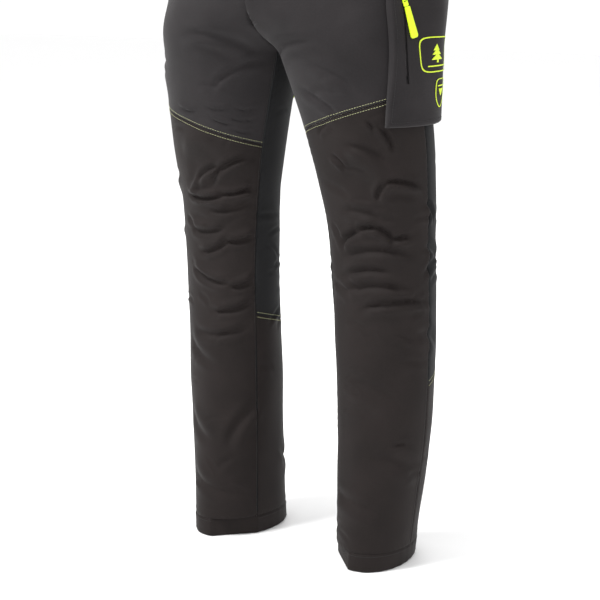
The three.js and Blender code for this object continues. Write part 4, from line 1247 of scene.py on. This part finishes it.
class BuildZips(bpy.types.Operator):
    """Makes the woven tapes and the moulded teeth of the four zips"""

    bl_idname = "trousers.zips"
    bl_label = "Zips"

    def tooth(self):
        """One moulded tooth: a bevelled block that grips the tape's edge."""
        bpy.ops.object.select_all(action="DESELECT")
        bpy.ops.mesh.primitive_cube_add(size=1)
        shape = bpy.context.active_object
        bpy.ops.object.mode_set(mode="EDIT")
        bpy.ops.mesh.select_all(action="SELECT")
        bpy.ops.transform.resize(value=(2.5 * MM, 2.1 * MM, 1.5 * MM))
        bpy.ops.mesh.bevel(offset=0.35 * MM, segments=1, affect="EDGES")
        bpy.ops.object.mode_set(mode="OBJECT")
        return shape

    def execute(self, context):
        pitch = context.scene.trousers_zip.tooth_pitch / MM
        for name in ("fly", "cargo", "vent_left", "vent_right"):
            matrix, length = zip_frame(name)
            node = {"fly": "fly_zip", "cargo": "cargo_zip"}.get(name, name.replace("vent_", "vent_zip_"))
            for sign, word in ((1, "outer"), (-1, "inner")):
                x = np.array([1.0, 1.3, 2.2, 2.8, 5.0, 7.5, 10.0, 11.1, 11.4])
                cord = 0.3 * np.exp(-(((x - 1.8) / 0.8) ** 2)) - 0.12 * np.exp(-(((11.4 - x) / 0.3) ** 2))
                z = np.linspace(-length - 14, 5, int(length / 4))
                xx, zz = np.meshgrid(x * sign, z)
                yy = -4.85 + np.broadcast_to(cord, xx.shape) * 0.6
                grids = []
                for y in (yy, -10.5 - yy):
                    grids.append(to_frame(matrix, np.stack([xx, y, zz], -1)))
                # The thigh pocket's tape is painted lighter than the cloth to offset the shade in its slit.
                weave = "charcoal_tape_weave" if name == "cargo" else "zip_tape_weave"
                obj = shell_object(f"{node}_cloth_{word}", *grids, materials[weave], mirrored=sign < 0)
                smooth_angles(obj)
                finish_piece(obj, BODY, [f"{node}_tape_{word}"])
                declare(obj, grids[0])
            count = int(length / pitch)
            k = np.arange(count)
            places = []
            for sign in (1, -1):
                z = -k * pitch - (0.6 if sign > 0 else 0.6 + pitch / 2)
                z = z[z > -length + 0.6]
                p = np.stack([np.full(z.shape, 1.95 * sign), np.full(z.shape, -5.2), z], -1)
                m = np.tile(np.array(matrix), (len(z), 1, 1))
                m[:, :3, 3] = to_frame(matrix, p) * MM
                places.append(m)
            # The thigh pocket's teeth are painted lighter than the cloth to offset the shade in its slit.
            acetal = "charcoal_acetal" if name == "cargo" else "black_acetal"
            obj = copies(f"{node}_teeth", self.tooth(), np.concatenate(places), materials[acetal])
            finish_piece(obj, BODY)
        return {"FINISHED"}


class BuildStitches(bpy.types.Operator):
    """Sews the seams: twin contrast rows at knee and calf, and dark rows on edges, pockets and hems"""

    bl_idname = "trousers.stitches"
    bl_label = "Stitching"

    def cargo_rows(self, half):
        """Rows a little inside the four borders of the bellows pocket."""
        inset = 8.5
        turn = inset / 112.0
        borders = []
        z = np.linspace(CARGO_LOW + inset, CARGO_HIGH - inset, 120)
        for line, sign in ((cargo_front, 1), (cargo_back, -1)):
            borders.append((line(z) + sign * turn, z))
        for height in (CARGO_LOW + inset, CARGO_HIGH - inset):
            a = np.linspace(float(cargo_front(height)) + turn, float(cargo_back(height)) - turn, 120)
            borders.append((a, np.full(a.shape, height)))
        rows = []
        for a, z in borders:
            points = half.at(a, z, CARGO_DEPTH + pocket_fill(a, z), flat=True)
            rows.append(row_frames(points, half.normal_at(a, z, True), SEWING_PITCH))
        return rows

    def execute(self, context):
        setting = context.scene.trousers_stitch
        pitch, gap = setting.pitch / MM, setting.row_gap / MM / 2
        t = np.linspace(0.006, 0.994, 260)
        for word, side in SIDES:
            half = halves[word]
            pale, dark = [], []
            for shift in (-gap, gap):
                angle = np.full(t.shape, 0.0)
                for _ in range(3):
                    z = seam_height(KNEE_SEAM[word], angle) + shift
                    angle = edge_at(z, 0) + (OUTSEAM - edge_at(z, 0)) * t
                pale.append(cloth_row(half, angle, z, 0.4, pitch))
                angle = np.full(t.shape, 3.0)
                for _ in range(3):
                    z = seam_height(CALF_SEAM, angle) + shift
                    angle = OUTSEAM + (edge_at(z, 1) - OUTSEAM) * t
                pale.append(cloth_row(half, angle, z, 0.4, pitch))
            stitches(f"contrast_stitches_{word}", pale, materials["contrast_thread"])

            z = np.linspace(HEM_TOP + 4, -60, 420)
            # The left leg's row stops 6 mm from the bellows pocket, which covers the seam.
            parts = (z[z < CARGO_LOW - 6], z[z > CARGO_HIGH + 6]) if word == "left" else (z,)
            for part in parts:
                angle = np.full(part.shape, OUTSEAM - 2.6 / LEG_RADIUS)
                dark.append(cloth_row(half, angle, part, 0.25, SEWING_PITCH))
            z = np.linspace(HEM_TOP + 4, -RISE - 6, 320)
            dark.append(cloth_row(half, edge_at(z, 0) + 2.8 / 85.0, z, 0.25, SEWING_PITCH))
            around = np.linspace(0, 2 * math.pi, 260)
            dark.append(cloth_row(half, around, np.full(around.shape, HEM_TOP - 4.0), 0.65, SEWING_PITCH))
            left, right, low, _ = pocket_sides(BACK_POCKET)
            dark += edge_rows(half, left, right, low, level(-146.0), 3.4, 2.85, "lrb", SEWING_PITCH)
            vent, length = zip_frame(f"vent_{word}")
            for x in (-8.4, 8.4):
                zz = np.linspace(-length - 8, 4, 90)
                p = to_frame(vent, np.stack([np.full(90, x), np.zeros(90), zz], -1))
                local = p * np.array([side, 1, 1])
                height = local[:, 2]
                ang = np.arctan2(local[:, 0] - along(LEG, "cx", height), along(LEG, "cy", height) - local[:, 1])
                ang = np.where(ang < 0, ang + 2 * math.pi, ang)
                dark.append(cloth_row(half, ang, height, 0.2, SEWING_PITCH))
            z = np.linspace(-163, -56, 80)
            for x in (-4.6, 4.6):
                angle = welt_middle(z) + x * 1.2 / along(LEG, "a", z)
                dark.append(cloth_row(half, angle, z, 2.55, SEWING_PITCH))
            if word == "left":
                dark += self.cargo_rows(half)
            stitches(f"dark_stitches_{word}", dark, materials["dark_thread"])
            flap = edge_rows(half, *pocket_sides(BACK_FLAP), 3.4, 5.85, "lrb", SEWING_PITCH)
            stitches(f"flap_stitches_{word}", flap, materials["dark_thread"], f"back_pocket_flap_{word}")

        rows = []
        for z in (-4.2, -BAND + 4.2):
            start, end = (float(waist_angle(x, np.float64(z))) for x in (40.0, 16))
            end += 2 * math.pi
            a = np.linspace(start, end, 900)
            p = waist(a, np.full(a.shape, z), 1.25)
            n = waist(a, np.full(a.shape, z), 10.0) - p
            rows.append(row_frames(p, n, SEWING_PITCH))
        stitches("waistband_stitches", rows, materials["dark_thread"])

        z = np.linspace(-188, -54, 120)
        a = waist_angle(cover_edge(z) + 5.0, z)
        p = waist(a, z, 2.5)
        rows = [row_frames(p, waist(a, z, 12.0) - p, SEWING_PITCH)]
        stitches("fly_stitches", rows, materials["dark_thread"], "fly_cover")
        return {"FINISHED"}


class FinishHardware(bpy.types.Operator):
    """Gives the sliders, pulls, stops and the snap their finishes and rounds their edges"""

    bl_idname = "trousers.hardware"
    bl_label = "Hardware"

    def execute(self, context):
        finish = {"snap_cap": "dark_nickel", "snap_stud": "dark_nickel", "cargo_zip_grip": "fluorescent_acetal",
                  "cargo_zip_pull": "fluorescent_acetal", "cargo_zip_slider": "fluorescent_acetal",
                  "vent_zip_left_pull": "fluorescent_acetal", "vent_zip_right_pull": "fluorescent_acetal",
                  "cargo_zip_bottom_stop": "black_acetal"}
        for name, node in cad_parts.items():
            if node.hide_render:
                continue
            material = materials[finish.get(name, "dark_nickel")]
            if not node.material_slots:
                node.data.materials.append(material)
            for each in node.material_slots:
                each.material = material
            weld = node.modifiers.new("weld", "WELD")
            weld.merge_threshold = 0.01 * MM
            soft = node.modifiers.new("edges", "BEVEL")
            soft.limit_method, soft.angle_limit = "ANGLE", math.radians(35)
            soft.width, soft.segments = (0.5 if name == "cargo_zip_grip" else 0.25) * MM, 2
            soft.use_clamp_overlap = True
        return {"FINISHED"}


# ------------------------------------------------------------------ stage

class BuildStage(bpy.types.Operator):
    """Sets up the floor, the studio light and the camera"""

    bl_idname = "trousers.stage"
    bl_label = "Stage"

    def light(self, name, place, target, size, power):
        data = bpy.data.lights.new(name, "AREA")
        data.shape, data.size, data.energy = "DISK", size, power
        obj = bpy.data.objects.new(name, data)
        obj.location = place
        obj.rotation_mode = "QUATERNION"
        obj.rotation_quaternion = (Vector(target) - Vector(place)).to_track_quat("-Z", "Y")
        bpy.context.scene.collection.objects.link(obj)

    def execute(self, context):
        stage = context.scene.trousers_stage
        bpy.ops.object.select_all(action="DESELECT")
        bpy.ops.mesh.primitive_plane_add(size=24, location=(0, 0, HEM_Z * MM - 0.0008))
        floor = bpy.context.active_object
        floor.name = "studio_floor"
        floor.data.materials.append(materials["pale_studio_floor"])
        world = bpy.data.worlds.new("studio")
        world.use_nodes = True
        world.node_tree.nodes["Background"].inputs[0].default_value = (1, 1, 1, 1)
        world.node_tree.nodes["Background"].inputs[1].default_value = 1.06
        context.scene.world = world
        middle = (0, 0, -0.55)
        self.light("key", (-1.2, -1.9, 2.6), middle, 1.0, 150)
        self.light("fill", (2.8, -1.6, 0.6), middle, 2.4, 12)
        self.light("rim", (-1.6, 2.6, 1.4), middle, 2.0, 45)
        context.scene.view_settings.view_transform = "Standard"
        camera = bpy.data.cameras.new("camera")
        camera.sensor_width, camera.lens = 36, 96.96
        camera.clip_start, camera.clip_end = 0.05, 60
        obj = bpy.data.objects.new("camera", camera)
        turn, pitch, far = stage.turn, stage.pitch, stage.distance
        obj.location = (math.sin(turn) * far, -math.cos(turn) * far, -0.149)
        ahead = Vector((-math.sin(turn) * math.cos(pitch), math.cos(turn) * math.cos(pitch), -math.sin(pitch)))
        obj.rotation_mode = "QUATERNION"
        obj.rotation_quaternion = ahead.to_track_quat("-Z", "Y")
        context.scene.collection.objects.link(obj)
        context.scene.camera = obj
        return {"FINISHED"}


# ------------------------------------------------------------------ the add-on

OPERATORS = (BuildStage, BuildShell, BuildHems, BuildInside, BuildWaist, BuildFly, BuildPockets, BuildCargo,
             BuildZips, BuildStitches, FinishHardware)
SETTINGS = (("trousers_cloth", ClothSettings), ("trousers_stitch", StitchSettings),
            ("trousers_zip", ZipSettings), ("trousers_colour", ColourSettings),
            ("trousers_stage", StageSettings))


class TrousersPanel(bpy.types.Panel):
    """Lists the steps that build the trousers"""

    bl_idname = "VIEW3D_PT_trousers"
    bl_label = "Protective trousers"
    bl_space_type = "VIEW_3D"
    bl_region_type = "UI"
    bl_category = "Trousers"

    def draw(self, context):
        for name, group in SETTINGS:
            box = self.layout.box()
            for key in group.__annotations__:
                box.prop(getattr(context.scene, name), key)
        for operator in OPERATORS:
            self.layout.operator(operator.bl_idname)


def register():
    for group in SETTINGS:
        bpy.utils.register_class(group[1])
        setattr(bpy.types.Scene, group[0], bpy.props.PointerProperty(type=group[1]))
    for operator in OPERATORS:
        bpy.utils.register_class(operator)
    bpy.utils.register_class(TrousersPanel)


def unregister():
    bpy.utils.unregister_class(TrousersPanel)
    for operator in reversed(OPERATORS):
        bpy.utils.unregister_class(operator)
    for name, group in reversed(SETTINGS):
        delattr(bpy.types.Scene, name)
        bpy.utils.unregister_class(group)


def main():
    register()
    make_materials()
    materials["fluorescent_acetal"].node_tree.nodes["Principled BSDF"].inputs["Base Color"].default_value = (
        bpy.context.scene.trousers_colour.contrast)
    for word, side in SIDES:
        halves[word] = Half(word, side)
    for operator in OPERATORS:
        group, name = operator.bl_idname.split(".")
        getattr(getattr(bpy.ops, group), name)()


if __name__ == "__main__":
    main()
